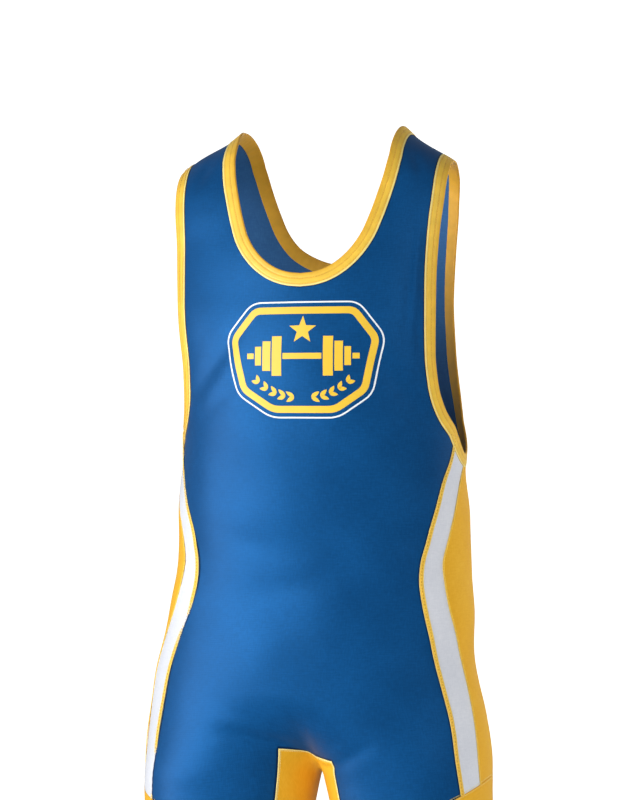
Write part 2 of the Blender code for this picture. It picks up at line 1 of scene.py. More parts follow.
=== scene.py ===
# %% [markdown]
# # A weightlifting singlet, worn and empty
#
# The garment is a stretch suit in one piece: a blue front and back with shoulder straps, white side
# stripes, yellow side pieces, a yellow gusset between the legs and yellow cuffs. Folded bindings close
# the neck and the armholes. There is no wearer inside, so every piece is a thin wall round a hollow.
#
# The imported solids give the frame. Here each of them gets its dressed piece in the same place: finer
# cloth, rolled edges, real stitches and the sheen of the knit.

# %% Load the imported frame
import math

import bpy
import numpy as np
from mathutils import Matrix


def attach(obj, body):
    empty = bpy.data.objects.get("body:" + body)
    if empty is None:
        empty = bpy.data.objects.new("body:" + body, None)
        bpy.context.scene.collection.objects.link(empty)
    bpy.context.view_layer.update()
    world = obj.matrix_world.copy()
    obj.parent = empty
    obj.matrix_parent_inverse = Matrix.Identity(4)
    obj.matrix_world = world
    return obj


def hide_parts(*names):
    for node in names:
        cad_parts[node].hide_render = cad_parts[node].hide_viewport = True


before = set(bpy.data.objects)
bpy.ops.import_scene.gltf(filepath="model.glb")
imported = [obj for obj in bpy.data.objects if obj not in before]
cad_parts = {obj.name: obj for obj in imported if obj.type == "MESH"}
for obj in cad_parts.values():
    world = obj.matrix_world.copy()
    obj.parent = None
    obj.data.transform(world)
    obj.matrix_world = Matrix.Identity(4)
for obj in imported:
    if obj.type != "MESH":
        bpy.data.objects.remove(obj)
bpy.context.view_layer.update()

# %% [markdown]
# ## The figure under the cloth
#
# A stretch garment takes its form from what fills it. A scan or a simulation could give that form, but
# a stack of level ovals is easier to read and to change: each row of the table gives a half width, a
# front depth and a back depth at one height. The ovals split into two legs at the fork. These are the
# same rows that the solids were made from, so the dressed cloth lies where they lie.


# %% Sizes of the general figure
def table(columns, rows):
    """Name the columns of a short table of sizes."""
    return dict(zip(columns.split(), np.array(rows, dtype=float).T))


OVAL_POWER = 2.15
FIGURE = table("height wide front back", (
    (0.120, 0.056, 0.050, 0.060),
    (0.060, 0.060, 0.052, 0.064),
    (0.030, 0.074, 0.056, 0.070),
    (0.006, 0.098, 0.062, 0.076),
    (-0.016, 0.134, 0.071, 0.084),
    (-0.040, 0.163, 0.080, 0.092),
    (-0.070, 0.172, 0.090, 0.100),
    (-0.110, 0.168, 0.101, 0.108),
    (-0.150, 0.165, 0.110, 0.113),
    (-0.200, 0.160, 0.118, 0.114),
    (-0.250, 0.155, 0.120, 0.110),
    (-0.300, 0.150, 0.117, 0.103),
    (-0.340, 0.150, 0.112, 0.097),
    (-0.380, 0.154, 0.108, 0.091),
    (-0.420, 0.155, 0.104, 0.088),
    (-0.450, 0.157, 0.103, 0.087),
    (-0.480, 0.161, 0.103, 0.090),
    (-0.520, 0.165, 0.104, 0.099),
    (-0.560, 0.172, 0.104, 0.112),
    (-0.600, 0.179, 0.101, 0.122),
    (-0.640, 0.183, 0.096, 0.126),
    (-0.680, 0.184, 0.091, 0.120),
    (-0.730, 0.184, 0.087, 0.108),
    (-0.800, 0.182, 0.083, 0.100),
))
print("figure rows:", len(FIGURE["height"]))

# %% Sizes of the legs
LEG = table("height inner front back", (
    (-0.520, 0.000, 0.099, 0.113),
    (-0.604, 0.000, 0.095, 0.120),
    (-0.644, 0.001, 0.091, 0.118),
    (-0.684, 0.010, 0.087, 0.111),
    (-0.724, 0.018, 0.084, 0.103),
    (-0.800, 0.025, 0.080, 0.096),
))
FORK_TOP, FORK_BOTTOM, FORK_ROUND = -0.568, -0.658, 0.010
print("the legs part over %.0f mm of height" % (1000 * (FORK_TOP - FORK_BOTTOM)))

# %% Sizes of the stance
# A sideways sway, with shoulders and hips a little higher on the left
SWAY = table("height shift", (
    (0.100, -0.002),
    (-0.060, -0.0010),
    (-0.150, -0.0015),
    (-0.200, 0.0003),
    (-0.250, 0.0030),
    (-0.300, 0.0048),
    (-0.350, 0.0028),
    (-0.410, 0.0040),
    (-0.480, 0.0010),
    (-0.540, -0.0055),
    (-0.600, -0.0048),
    (-0.700, -0.0033),
    (-0.800, -0.0033),
))
SHOULDER_RISE, SHOULDER_RISE_END = 0.020, -0.300
HIP_RISE, HIP_RISE_START, HIP_RISE_FULL = 0.040, -0.480, -0.660
NECK_SHIFT, GUSSET_SHIFT = 0.0048, 0.0060
GUSSET_SLANT, GUSSET_SLANT_REACH = 0.30, 0.060
print("largest sway: %.1f mm" % (1000 * np.abs(SWAY["shift"]).max()))


# %% Read a table between its rows
FINE_STEP = 0.0001


def smooth(sizes, column, height):
    """A cubic between each two rows, whose slope at a row is that of its neighbours' chord."""
    order = np.argsort(sizes["height"])
    at, value = sizes["height"][order], sizes[column][order]
    slope = np.gradient(value, at)
    height = np.clip(height, at[0], at[-1])
    row = np.clip(np.searchsorted(at, height) - 1, 0, len(at) - 2)
    step = at[row + 1] - at[row]
    s = (height - at[row]) / step
    return ((2 * s**3 - 3 * s**2 + 1) * value[row] + (s**3 - 2 * s**2 + s) * step * slope[row]
            + (3 * s**2 - 2 * s**3) * value[row + 1] + (s**3 - s**2) * step * slope[row + 1])


def dense(sizes):
    """The same table at every tenth of a millimetre, which makes long arrays quick to look up."""
    low, high = sizes["height"].min(), sizes["height"].max()
    fine = np.arange(low, high + FINE_STEP, FINE_STEP)
    return {"low": low, **{name: smooth(sizes, name, fine) for name in sizes if name != "height"}}


def read(sizes, column, height):
    """A straight line between the two nearest rows of a dense table."""
    values = sizes[column]
    place = np.clip((np.asarray(height, float) - sizes["low"]) / FINE_STEP, 0, len(values) - 1.001)
    row = place.astype(int)
    return values[row] + (place - row) * (values[row + 1] - values[row])


def ease(start, end, value):
    """Rise from 0 at start to 1 at end with level ends: 3t² - 2t³."""
    t = np.clip((value - start) / (end - start), 0.0, 1.0)
    return t * t * (3.0 - 2.0 * t)


FIGURE, LEG, SWAY = dense(FIGURE), dense(LEG), dense(SWAY)
print("width at the waist: %.0f mm" % (2000 * read(FIGURE, "wide", -0.42)))


# %% The figure as a distance
def oval(x, y, wide, front, back):
    """Distance from a level oval: the reach times one less one over the scaled reach."""
    deep = np.where(y < 0, front, back)
    scaled = (np.abs(x / wide)**OVAL_POWER + np.abs(y / deep)**OVAL_POWER)**(1 / OVAL_POWER)
    return np.hypot(x, y) * (1.0 - 1.0 / (scaled + 1e-9))


def leg_shape(height):
    """The middle, the half width and the two depths of a leg's oval."""
    wide, inner = read(FIGURE, "wide", height), read(LEG, "inner", height)
    return (wide + inner) / 2, (wide - inner) / 2, read(LEG, "front", height), read(LEG, "back", height)


def figure(points):
    """Distance from the whole figure: the trunk's oval, eased into the nearer leg's below the fork."""
    x, y, z = points[..., 0], points[..., 1], points[..., 2]
    trunk = oval(x, y, read(FIGURE, "wide", z), read(FIGURE, "front", z), read(FIGURE, "back", z))
    middle, half, front, back = leg_shape(z)
    left, right = oval(x - middle, y, half, front, back), oval(x + middle, y, half, front, back)
    near = np.clip(FORK_ROUND - np.abs(left - right), 0, None) / FORK_ROUND
    legs = np.minimum(left, right) - near * near * FORK_ROUND / 4
    forked = ease(FORK_TOP, FORK_BOTTOM, z)
    return (1 - forked) * trunk + forked * legs


print("a point 10 mm before the middle lies %.0f mm inside" % (-1000 * figure(np.array([0.0, -0.01, -0.25]))))

# %% Walk onto the figure
PROBE = 0.0002
SETTLE_STEPS = 9


def unit(vectors):
    """Each vector divided by its own length."""
    return vectors / np.linalg.norm(vectors, axis=-1, keepdims=True)


def slope_of(points):
    """The gradient of the distance, by a small step each way along each axis."""
    sides = [(figure(points + axis) - figure(points - axis)) / (2 * PROBE) for axis in np.eye(3) * PROBE]
    return np.stack(sides, axis=-1)


def outward(points):
    """Unit normals of the figure."""
    return unit(slope_of(points))


def settle(points):
    """Newton's steps straight along the gradient, until the points lie on the figure."""
    points = np.array(points, dtype=float)
    for _ in range(SETTLE_STEPS):
        slope = slope_of(points)
        points = points - slope * (figure(points) / np.sum(slope * slope, axis=-1))[..., None]
    return points


print("waist in front, walked onto from outside:", np.round(settle([[0.0, -0.13, -0.42]])[0], 4))


# %% Cast rays from inside
def cast(origin, direction, reach=0.30, steps=60):
    """Where rays from inside first leave the figure: the first step outside, then halving."""
    origin, direction = np.broadcast_arrays(np.asarray(origin, float), np.asarray(direction, float))
    along = np.linspace(0, reach, steps)
    outside = figure(origin[..., None, :] + direction[..., None, :] * along[:, None]) > 0
    outside[..., 0] = False
    first = np.argmax(outside, axis=-1)
    low, high = along[first - 1], along[first]
    for _ in range(24):
        middle = (low + high) / 2
        beyond = figure(origin + direction * middle[..., None]) > 0
        high = np.where(beyond, middle, high)
        low = np.where(beyond, low, middle)
    return origin + direction * ((low + high) / 2)[..., None]


FRONT, BACK = -1, 1


def face_point(across, height, face):
    """The point of the front or the back at a place across and a height."""
    across, height = np.broadcast_arrays(np.asarray(across, float), np.asarray(height, float))
    return cast(np.stack([across, 0 * across, height], axis=-1), np.array([0.0, face, 0.0]))


print("chest point:", np.round(face_point(0.0, -0.25, FRONT), 4))

# %% [markdown]
# ## Seams drawn once
#
# A maker cuts panels so that their edges meet. If each panel were shaped by itself, gaps would open.
# So the seams come first, as curves on the figure: the bound edges of neck and armholes, the side
# seams as turns about each half, the gusset and the cuffs. Each panel is then the patch between its
# seams, and neighbours share the same points.

# %% Turns of the side seams, in degrees about the middle of each half
SIDE_SEAMS = dense(table("height front stripe back", (
    (-0.300, 63.0, 90.0, 128.0),
    (-0.330, 58.5, 87.0, 128.0),
    (-0.351, 50.5, 74.5, 127.0),
    (-0.372, 43.5, 65.0, 126.0),
    (-0.393, 37.5, 57.5, 125.0),
    (-0.414, 33.0, 52.0, 124.0),
    (-0.434, 28.5, 47.5, 124.0),
    (-0.455, 27.5, 48.5, 124.0),
    (-0.476, 29.7, 51.3, 124.0),
    (-0.518, 38.5, 63.0, 126.0),
    (-0.560, 44.2, 68.8, 128.0),
    (-0.610, 47.2, 68.3, 130.0),
    (-0.645, 47.4, 68.2, 130.0),
    (-0.681, 50.6, 70.2, 130.0),
    (-0.740, 54.0, 72.0, 130.0),
)))
print("front seam at the waist: %.0f degrees" % read(SIDE_SEAMS, "front", -0.42))

# %% Bound edges of the neck and the armholes
NECK_FRONT = table("across height", (
    (0.0000, -0.1516),
    (0.0150, -0.1500),
    (0.0303, -0.1452),
    (0.0454, -0.1360),
    (0.0575, -0.1245),
    (0.0705, -0.1052),
    (0.0784, -0.0848),
    (0.0846, -0.0638),
    (0.0900, -0.0425),
    (0.0935, -0.0208),
))
NECK_BACK = table("across height", (
    (0.000, -0.134),
    (0.018, -0.132),
    (0.038, -0.125),
    (0.058, -0.112),
    (0.072, -0.093),
    (0.081, -0.070),
    (0.088, -0.045),
    (0.0925, -0.020),
))
ARM_FRONT = table("across height", (
    (0.1405, -0.304),
    (0.1330, -0.288),
    (0.1275, -0.268),
    (0.1250, -0.240),
    (0.1258, -0.205),
    (0.1266, -0.165),
    (0.1277, -0.124),
    (0.1297, -0.085),
    (0.1318, -0.055),
    (0.1332, -0.032),
))
ARM_BACK = table("across height", (
    (0.1335, -0.296),
    (0.1270, -0.265),
    (0.1220, -0.228),
    (0.1200, -0.183),
    (0.1208, -0.137),
    (0.1238, -0.094),
    (0.1270, -0.060),
    (0.1305, -0.032),
))
print("neck depth: %.0f mm in front, %.0f mm behind" % (
    -1000 * NECK_FRONT["height"][0], -1000 * NECK_BACK["height"][0]))

# %% Other sizes of the seams, and the counts of points
# A panel's middle patch meets its side strips along this line, where nothing is cut
PRINCESS = dense(table("height across", (
    (-0.632, 0.0275),
    (-0.580, 0.037),
    (-0.500, 0.047),
    (-0.300, 0.056),
    (-0.125, 0.0575),
)))
SHOULDER_AT_NECK, SHOULDER_AT_ARM, UNDER_SHOULDER = 0.0955, 0.134, -0.100
CHEST_LEVEL, ARM_LOW, STRIPE_TOP = -0.300, -0.336, -0.327
STRAP_LEVEL = {FRONT: -0.1245, BACK: -0.112}
GUSSET_TOP = {FRONT: -0.632, BACK: -0.630}
GUSSET_HALF, GUSSET_AT_CUFF = 0.0275, 0.038
CROTCH_DIP, CROTCH_PINCH = 0.052, 0.017
CUFF_AT_SIDE, CUFF_SLOPE, CUFF_BOW = -0.666, 0.20, 2.0

# Rows and columns of points, about 2.5 mm apart
LEG_ROWS, TRUNK_ROWS, CHEST_ROWS, STRAP_ROWS = 24, 126, 66, 62
STRIP_COLUMNS, CENTRE_COLUMNS = 38, 46
STRIPE_COLUMNS, SIDE_COLUMNS, GUSSET_ROWS = 12, 40, 120
print("points in a side strip of the trunk:", (STRIP_COLUMNS + 1) * (TRUNK_ROWS + 1))


# %% Points at a turn, on a leg and on the shoulders
def side_point(height, turn):
    """The point at a height and a turn in degrees about the middle of the left half."""
    height, turn = np.broadcast_arrays(np.asarray(height, float), np.radians(turn))
    origin = np.stack([read(FIGURE, "wide", height) / 2, 0 * height, height], axis=-1)
    return cast(origin, np.stack([np.sin(turn), -np.cos(turn), 0 * turn], axis=-1))


def leg_point(height, turn):
    """The point of the left leg's oval at a height and a turn in radians about its own middle."""
    middle, half, front, back = leg_shape(height)
    sine, cosine = np.sin(turn), -np.cos(turn)
    deep = np.where(cosine < 0, front, back)
    radius = (np.abs(sine / half)**OVAL_POWER + np.abs(cosine / deep)**OVAL_POWER)**(-1 / OVAL_POWER)
    return np.stack([middle + radius * sine, radius * cosine, height + 0 * turn], axis=-1)


def top_point(across, depth):
    """The point of the shoulders above a place across and front to back."""
    across, depth = np.broadcast_arrays(np.asarray(across, float), np.asarray(depth, float))
    origin = np.stack([across, depth, np.full(across.shape, UNDER_SHOULDER)], axis=-1)
    return cast(origin, np.array([0.0, 0.0, 1.0]))


print("shoulder height at the neck: %.0f mm" % (1000 * top_point(SHOULDER_AT_NECK, 0.0)[2]))


# %% Runs along lines, and curves through points
def lengths(line):
    """The run along a line of points, from 0 at its start."""
    return np.concatenate([[0], np.cumsum(np.linalg.norm(np.diff(line, axis=0), axis=1))])


def resample(line, count):
    """Space a line evenly, count steps from end to end."""
    run = lengths(line)
    at = np.linspace(0, run[-1], count + 1)
    return np.stack([np.interp(at, run, line[:, k]) for k in range(3)], axis=1)


def spline(columns, count=400):
    """A smooth curve through rows of numbers, by the chord between them."""
    rows = np.stack(columns, axis=1)
    run = lengths(rows)
    at = np.linspace(0, run[-1], count)
    return [smooth({"height": run, "value": rows[:, k]}, "value", at) for k in range(rows.shape[1])]


FLAT_NECK = np.stack([NECK_FRONT["across"], NECK_FRONT["height"]], axis=1)
print("half the neck's front edge, seen flat: %.0f mm" % (1000 * lengths(FLAT_NECK)[-1]))


# %% Bound edges, and mirrored points
def bound_edge(edge, face, crest):
    """A bound edge on the front or the back, from its low end to the shoulder seam."""
    across, height = spline([edge["across"], edge["height"]])
    rising = face_point(across, height, face)
    over = np.linspace(0, 1, 60)[1:]
    last = rising[-1]
    return np.vstack([rising, top_point(last[0] + (crest - last[0]) * over, last[1] * (1 - over))])


def split(line, height):
    """Cut a rising line in two at a height."""
    row = int(np.argmin(np.abs(line[:, 2] - height)))
    return line[:row + 1], line[row:]


def mirrored(grid):
    """The same points on the other side."""
    return grid * np.array([-1.0, 1.0, 1.0])


ARM_EDGE_FRONT = bound_edge(ARM_FRONT, FRONT, SHOULDER_AT_ARM)
print("armhole edge in front: %.0f mm" % (1000 * lengths(ARM_EDGE_FRONT)[-1]))


# %% Seams that end on the cuff
def cuff_level(point):
    """The cuff seam: highest at the side, lower by a slope inwards and by a bow to front and back."""
    away = read(FIGURE, "wide", CUFF_AT_SIDE) - point[..., 0]
    return CUFF_AT_SIDE - CUFF_SLOPE * away - CUFF_BOW * point[..., 1]**2


def seam_line(column, low, high, count):
    """A side seam between two heights."""
    heights = np.linspace(low, high, count + 1)
    return side_point(heights, read(SIDE_SEAMS, column, heights))


def on_cuff(point_at):
    """The height at which a seam meets the cuff, by putting its own height back in."""
    level = CUFF_AT_SIDE
    for _ in range(6):
        level = float(cuff_level(point_at(level)))
    return level


def seam_foot(column):
    """The height at which a side seam meets the cuff."""
    return on_cuff(lambda level: side_point(level, read(SIDE_SEAMS, column, level)))


def gusset_seam(face):
    """The seam between gusset and panel on the left leg, from the cuff up to its corner."""
    foot = on_cuff(lambda level: face_point(GUSSET_AT_CUFF, level, face))
    heights = np.linspace(foot, GUSSET_TOP[face], LEG_ROWS + 1)
    across = np.linspace(GUSSET_AT_CUFF, GUSSET_HALF, LEG_ROWS + 1)
    return face_point(across, heights, face)


print("the front side seam meets the cuff at %.0f mm" % (1000 * seam_foot("front")))


# %% Rows along the cuff seam
def turn_of(points):
    """The turn of points about the left leg's middle."""
    return np.arctan2(points[..., 0] - leg_shape(points[..., 2])[0], -points[..., 1])


def foot_row(first, last, columns):
    """A row of points along the cuff seam between two of its points, by the shorter way round."""
    start = turn_of(first)
    swing = (turn_of(last) - start + math.pi) % (2 * math.pi) - math.pi
    turns = np.linspace(start, start + swing, columns + 1)
    level = np.full(len(turns), CUFF_AT_SIDE)
    for _ in range(8):
        level = cuff_level(leg_point(level, turns))
    row = leg_point(level, turns)
    row[0], row[-1] = first, last
    return row


STRIPE_FOOT = side_point(seam_foot("stripe"), read(SIDE_SEAMS, "stripe", seam_foot("stripe")))
print("the stripe ends on the cuff at a turn of %.0f degrees" % math.degrees(turn_of(STRIPE_FOOT)))


# %% Lay out the seams of the front and the back, on the left half
def lay_out():
    """Work out the seams of the front and the back once, so that neighbours share their points."""
    lines = {}
    sides = ((FRONT, "front", ARM_FRONT, NECK_FRONT), (BACK, "back", ARM_BACK, NECK_BACK))
    for face, column, arm, neck in sides:
        gusset_top = GUSSET_TOP[face]
        arm_line = bound_edge(arm, face, SHOULDER_AT_ARM)
        neck_line = bound_edge(neck, face, SHOULDER_AT_NECK)
        arm_chest, arm_strap = split(arm_line, STRAP_LEVEL[face])
        neck_low, neck_side = split(neck_line, STRAP_LEVEL[face])
        leg_in, leg_out = gusset_seam(face), seam_line(column, seam_foot(column), gusset_top, LEG_ROWS)
        trunk_out = seam_line(column, gusset_top, arm_line[0][2], TRUNK_ROWS)
        trunk_out[-1] = arm_line[0]
        heights = np.linspace(gusset_top, CHEST_LEVEL, TRUNK_ROWS + 1)
        trunk_in = face_point(read(PRINCESS, "across", heights), heights, face)
        trunk_in[0] = leg_in[-1]
        heights = np.linspace(CHEST_LEVEL, neck_low[-1][2], CHEST_ROWS + 1)
        chest_in = face_point(np.linspace(trunk_in[-1][0], neck_low[-1][0], CHEST_ROWS + 1), heights, face)
        chest_in[0], chest_in[-1] = trunk_in[-1], neck_low[-1]
        lines[face] = {
            "leg_in": leg_in, "leg_out": leg_out, "trunk_in": trunk_in, "trunk_out": trunk_out,
            "chest_in": chest_in, "chest_out": resample(arm_chest, CHEST_ROWS),
            "strap_in": resample(neck_side, STRAP_ROWS), "strap_out": resample(arm_strap, STRAP_ROWS),
            "neck_low": resample(neck_low, CENTRE_COLUMNS // 2),
        }
    return lines


LINES = lay_out()
print("front side seam above the gusset: %.0f mm" % (1000 * lengths(LINES[FRONT]["trunk_out"])[-1]))


# %% Lay out the stripe and the side piece
def underarm(lines):
    """The armhole's edge below the arm: a bowl through both corners and the lowest point."""
    start, end = lines[FRONT]["trunk_out"][-1], lines[BACK]["trunk_out"][-1]
    bowl = np.polyfit([start[1], (start[1] + end[1]) / 2, end[1]], [start[2], ARM_LOW, end[2]], 2)
    y = np.linspace(start[1], end[1], 400)
    z = np.polyval(bowl, y)
    deep = np.where(y < 0, read(FIGURE, "front", z), read(FIGURE, "back", z))
    x = read(FIGURE, "wide", z) * (1 - np.abs(y / deep)**OVAL_POWER)**(1 / OVAL_POWER)
    return np.stack([x, y, z], axis=1)


def lay_out_side(lines):
    """The edges of the stripe and the side piece, with the seam between them."""
    under = underarm(lines)
    seam = np.vstack([seam_line("stripe", seam_foot("stripe"), GUSSET_TOP[FRONT], LEG_ROWS),
                      seam_line("stripe", GUSSET_TOP[FRONT], STRIPE_TOP, TRUNK_ROWS)[1:]])
    meet = int(np.argmin(np.abs(under[:, 1] - seam[-1][1])))
    seam[-1] = under[meet]
    front = np.vstack([lines[FRONT]["leg_out"], lines[FRONT]["trunk_out"][1:]])
    back = np.vstack([lines[BACK]["leg_out"], lines[BACK]["trunk_out"][1:]])
    return {
        "front": front, "seam": seam, "back": back,
        "stripe_top": resample(under[:meet + 1], STRIPE_COLUMNS),
        "side_top": resample(under[meet:], SIDE_COLUMNS),
        "stripe_foot": foot_row(front[0], seam[0], STRIPE_COLUMNS),
        "side_foot": foot_row(seam[0], back[0], SIDE_COLUMNS),
    }


SIDE = lay_out_side(LINES)
HALFWAY = SIDE["front"][len(SIDE["front"]) // 2]
print("side seam: %.0f mm, worn stripe halfway up it: %.0f mm" % (
    1000 * lengths(SIDE["front"])[-1], 1000 * np.linalg.norm(SIDE["seam"] - HALFWAY, axis=1).min()))

# %% [markdown]
# ## Creases and the stance
#
# Stretch cloth shows few creases: one beside the armhole binding, soft troughs from the armhole under
# the chest, and the drag lines at the groin. Cloth simulation would add small noise that this knit
# doesn't have. Each crease is instead placed one by one, as a bell-shaped ridge or trough along a short
# line. A second table adds softer ones, and slow waves keep the large faces from looking moulded.

# %% Main creases, as on the solids
CREASES = "face across height lean long wide rise"
FOLDS = table(CREASES, (
    (-1, 0.117, -0.145, 3.0, 0.050, 0.0050, 0.0016),
    (-1, -0.092, -0.230, 38.0, 0.050, 0.0110, -0.0024),
    (-1, 0.098, -0.250, -32.0, 0.036, 0.0100, -0.0016),
    (-1, 0.050, -0.626, 66.0, 0.036, 0.0100, -0.0018),
    (-1, -0.042, -0.621, -74.0, 0.036, 0.0080, -0.0024),
    (-1, 0.010, -0.455, 82.0, 0.060, 0.0140, -0.0012),
    (-1, -0.113, -0.030, 20.0, 0.018, 0.0060, -0.0012),
    (-1, 0.112, -0.026, -20.0, 0.020, 0.0060, -0.0014),
    (1, 0.085, -0.375, -66.0, 0.055, 0.0120, -0.0024),
    (1, -0.078, -0.392, 68.0, 0.060, 0.0120, -0.0024),
    (1, 0.070, -0.430, -70.0, 0.045, 0.0100, -0.0018),
    (1, 0.066, -0.640, -58.0, 0.040, 0.0100, -0.0024),
    (1, -0.068, -0.640, 58.0, 0.042, 0.0100, -0.0024),
))
print("main creases:", len(FOLDS["rise"]))

# %% Softer creases and slow waves
SOFT_FOLDS = table(CREASES, (
    (-1, 0.110, -0.160, 5.0, 0.040, 0.0040, -0.0006),
    (-1, 0.119, -0.205, -3.0, 0.030, 0.0030, -0.0005),
    (-1, -0.080, -0.262, 52.0, 0.040, 0.0090, -0.0010),
    (-1, -0.052, -0.606, -70.0, 0.030, 0.0080, 0.0008),
    (-1, 0.034, -0.612, 74.0, 0.020, 0.0060, -0.0007),
    (-1, 0.074, -0.420, 70.0, 0.050, 0.0110, -0.0007),
    (-1, -0.070, -0.410, -74.0, 0.040, 0.0110, -0.0006),
    (-1, 0.088, -0.520, 58.0, 0.050, 0.0130, -0.0006),
    (-1, 0.002, -0.6372, -67.0, 0.012, 0.0032, -0.0024),
    (-1, 0.021, -0.6405, 77.0, 0.010, 0.0032, -0.0020),
    (-1, 0.008, -0.6345, -74.0, 0.013, 0.0036, 0.0016),
    (1, 0.030, -0.352, -80.0, 0.050, 0.0080, -0.0008),
    (1, -0.026, -0.365, 78.0, 0.050, 0.0080, 0.0008),
    (1, 0.046, -0.402, -74.0, 0.045, 0.0080, 0.0009),
    (1, -0.050, -0.425, 72.0, 0.050, 0.0080, -0.0009),
    (1, 0.036, -0.668, -50.0, 0.024, 0.0060, -0.0010),
    (1, -0.038, -0.668, 50.0, 0.024, 0.0060, -0.0010),
    (1, 0.094, -0.190, 22.0, 0.050, 0.0090, -0.0009),
    (1, -0.092, -0.205, -24.0, 0.050, 0.0090, -0.0009),
))
FOLD_FADE = 0.030
WAVES = table("across round up start rise", (
    (46.0, 20.0, 61.0, 0.4, 0.00030),
    (-31.0, 34.0, 44.0, 2.1, 0.00034),
    (70.0, -25.0, 27.0, 4.0, 0.00022),
    (22.0, 58.0, 95.0, 1.3, 0.00016),
))
print("soft creases:", len(SOFT_FOLDS["rise"]), "waves:", len(WAVES["rise"]))


# %% How far the cloth stands off the figure
def creases(points, folds):
    """A bell along and beside each crease's line, e to the -(a/long)² - (b/wide)², times its rise."""
    rise = np.zeros(points.shape[:-1])
    for face, across, height, lean, long, wide, amount in zip(*folds.values()):
        tilt = math.radians(lean)
        dx, dz = points[..., 0] - across, points[..., 2] - height
        along = dx * math.sin(tilt) + dz * math.cos(tilt)
        beside = dx * math.cos(tilt) - dz * math.sin(tilt)
        bell = np.exp(-(along / long)**2 - (beside / wide)**2)
        rise += amount * bell * ease(0, FOLD_FADE, points[..., 1] * face)
    return rise


def waves(points):
    """Slow waves: sines of a mix of the three coordinates."""
    x, y, z = points[..., 0], points[..., 1], points[..., 2]
    return sum(rise * np.sin(across * x + round_ * y + up * z + start)
               for across, round_, up, start, rise in zip(*WAVES.values()))


def relief(points):
    """How far the cloth stands off the figure."""
    return creases(points, FOLDS) + creases(points, SOFT_FOLDS) + waves(points)


print("deepest place on the front's side seam: %.1f mm" % (1000 * relief(LINES[FRONT]["trunk_out"]).min()))


# %% Move everything into the stance
def posed(points):
    """Move points from the upright figure to the stance."""
    x, y, z = points[..., 0], points[..., 1], points[..., 2]
    shoulders = SHOULDER_RISE * ease(SHOULDER_RISE_END, 0.0, z)
    hips = HIP_RISE * ease(HIP_RISE_START, HIP_RISE_FULL, z)
    middle = np.exp(-(x / GUSSET_SLANT_REACH)**2)
    slant = middle * np.exp(-((z - GUSSET_TOP[FRONT]) / GUSSET_SLANT_REACH)**2)
    shift = read(SWAY, "shift", z)
    shift = shift + NECK_SHIFT * ease(0.128, 0.085, np.abs(x)) * ease(-0.260, -0.150, z)
    shift = shift + GUSSET_SHIFT * middle * ease(-0.560, -0.630, z)
    return np.stack([x + shift, y, z + x * (shoulders + hips - GUSSET_SLANT * slant)], axis=-1)


print("crest of the left strap:", np.round(posed(LINES[FRONT]["strap_in"][-1]), 4))

# %% [markdown]
# ## From points to closed cloth
#
# Solidify could thicken a sheet, but here each sheet needs its own inner face, because the inside of a
# knit is duller than its outside. So a wall is built directly: an outer sheet, an inner sheet turned
# round, and a rim between. The knit's pattern follows a UV map in metres, measured round the body and
# up the cloth, so that a loop of the knit keeps its size everywhere.


# %% Patches between four edges
def patch(low, high, first, last):
    """Coons' patch: the sum of both ruled surfaces between opposite edges, less the corners' one."""
    u = np.linspace(0, 1, len(low))[None, :, None]
    v = np.linspace(0, 1, len(first))[:, None, None]
    across = (1 - u) * first[:, None] + u * last[:, None]
    along = (1 - v) * low[None] + v * high[None]
    corners = (1 - v) * ((1 - u) * low[0] + u * low[-1]) + v * ((1 - u) * high[0] + u * high[-1])
    grid = settle(across + along - corners)
    grid[0], grid[-1], grid[:, 0], grid[:, -1] = low, high, first, last
    return grid


def level_row(first, last, columns):
    """A row of points on the figure between two of its points."""
    u = np.linspace(0, 1, columns + 1)[:, None]
    row = settle((1 - u) * first + u * last)
    row[0], row[-1] = first, last
    return row


def grid_quads(rows, columns, closed_rows=False, closed_columns=False):
    """The corners of each cell of a grid; closed joins its last row or column to its first."""
    row = np.arange(rows if closed_rows else rows - 1)[:, None]
    column = np.arange(columns if closed_columns else columns - 1)[None, :]
    below, beside = (row + 1) % rows, (column + 1) % columns
    corners = [row * columns + column, row * columns + beside,
               below * columns + beside, below * columns + column]
    return np.stack([corner + 0 * row * column for corner in corners], axis=-1).reshape(-1, 4)


print("cells of a 3 by 4 grid:", len(grid_quads(3, 4)))

# %% Weld patches, and close them with a rim
SEAM_GAP = 0.0003


def weld(grids):
    """Join grids into one sheet of points and outward quads."""
    points, quads, start = [], [], 0
    for grid in grids:
        flat = grid.reshape(-1, 3)
        quad = grid_quads(*grid.shape[:2])
        corner = flat[quad]
        turned = np.cross(corner[:, 2] - corner[:, 0], corner[:, 3] - corner[:, 1])
        if np.sum(turned * outward(corner.mean(axis=1))) < 0:
            quad = quad[:, ::-1]
        points.append(flat)
        quads.append(quad + start)
        start += len(flat)
    points, quads = np.vstack(points), np.vstack(quads)
    _, first, same = np.unique(np.round(points, 6), axis=0, return_index=True, return_inverse=True)
    return points[first], same.reshape(-1)[quads]


def rim_edges(quads):
    """The directed edges that only one quad has: those whose reverse is no edge."""
    edges = np.vstack([quads[:, [k, (k + 1) % 4]] for k in range(4)]).astype(np.int64)
    size = edges.max() + 1
    return edges[~np.isin(edges[:, 1] * size + edges[:, 0], edges[:, 0] * size + edges[:, 1])]


def closed_sheet(quads, edges, total):
    """The outer quads, the same ones turned round inside, and a quad of rim at each border edge."""
    rim = np.stack([edges[:, 1], edges[:, 0], edges[:, 0] + total, edges[:, 1] + total], axis=1)
    return np.vstack([quads, quads[:, ::-1] + total, rim])


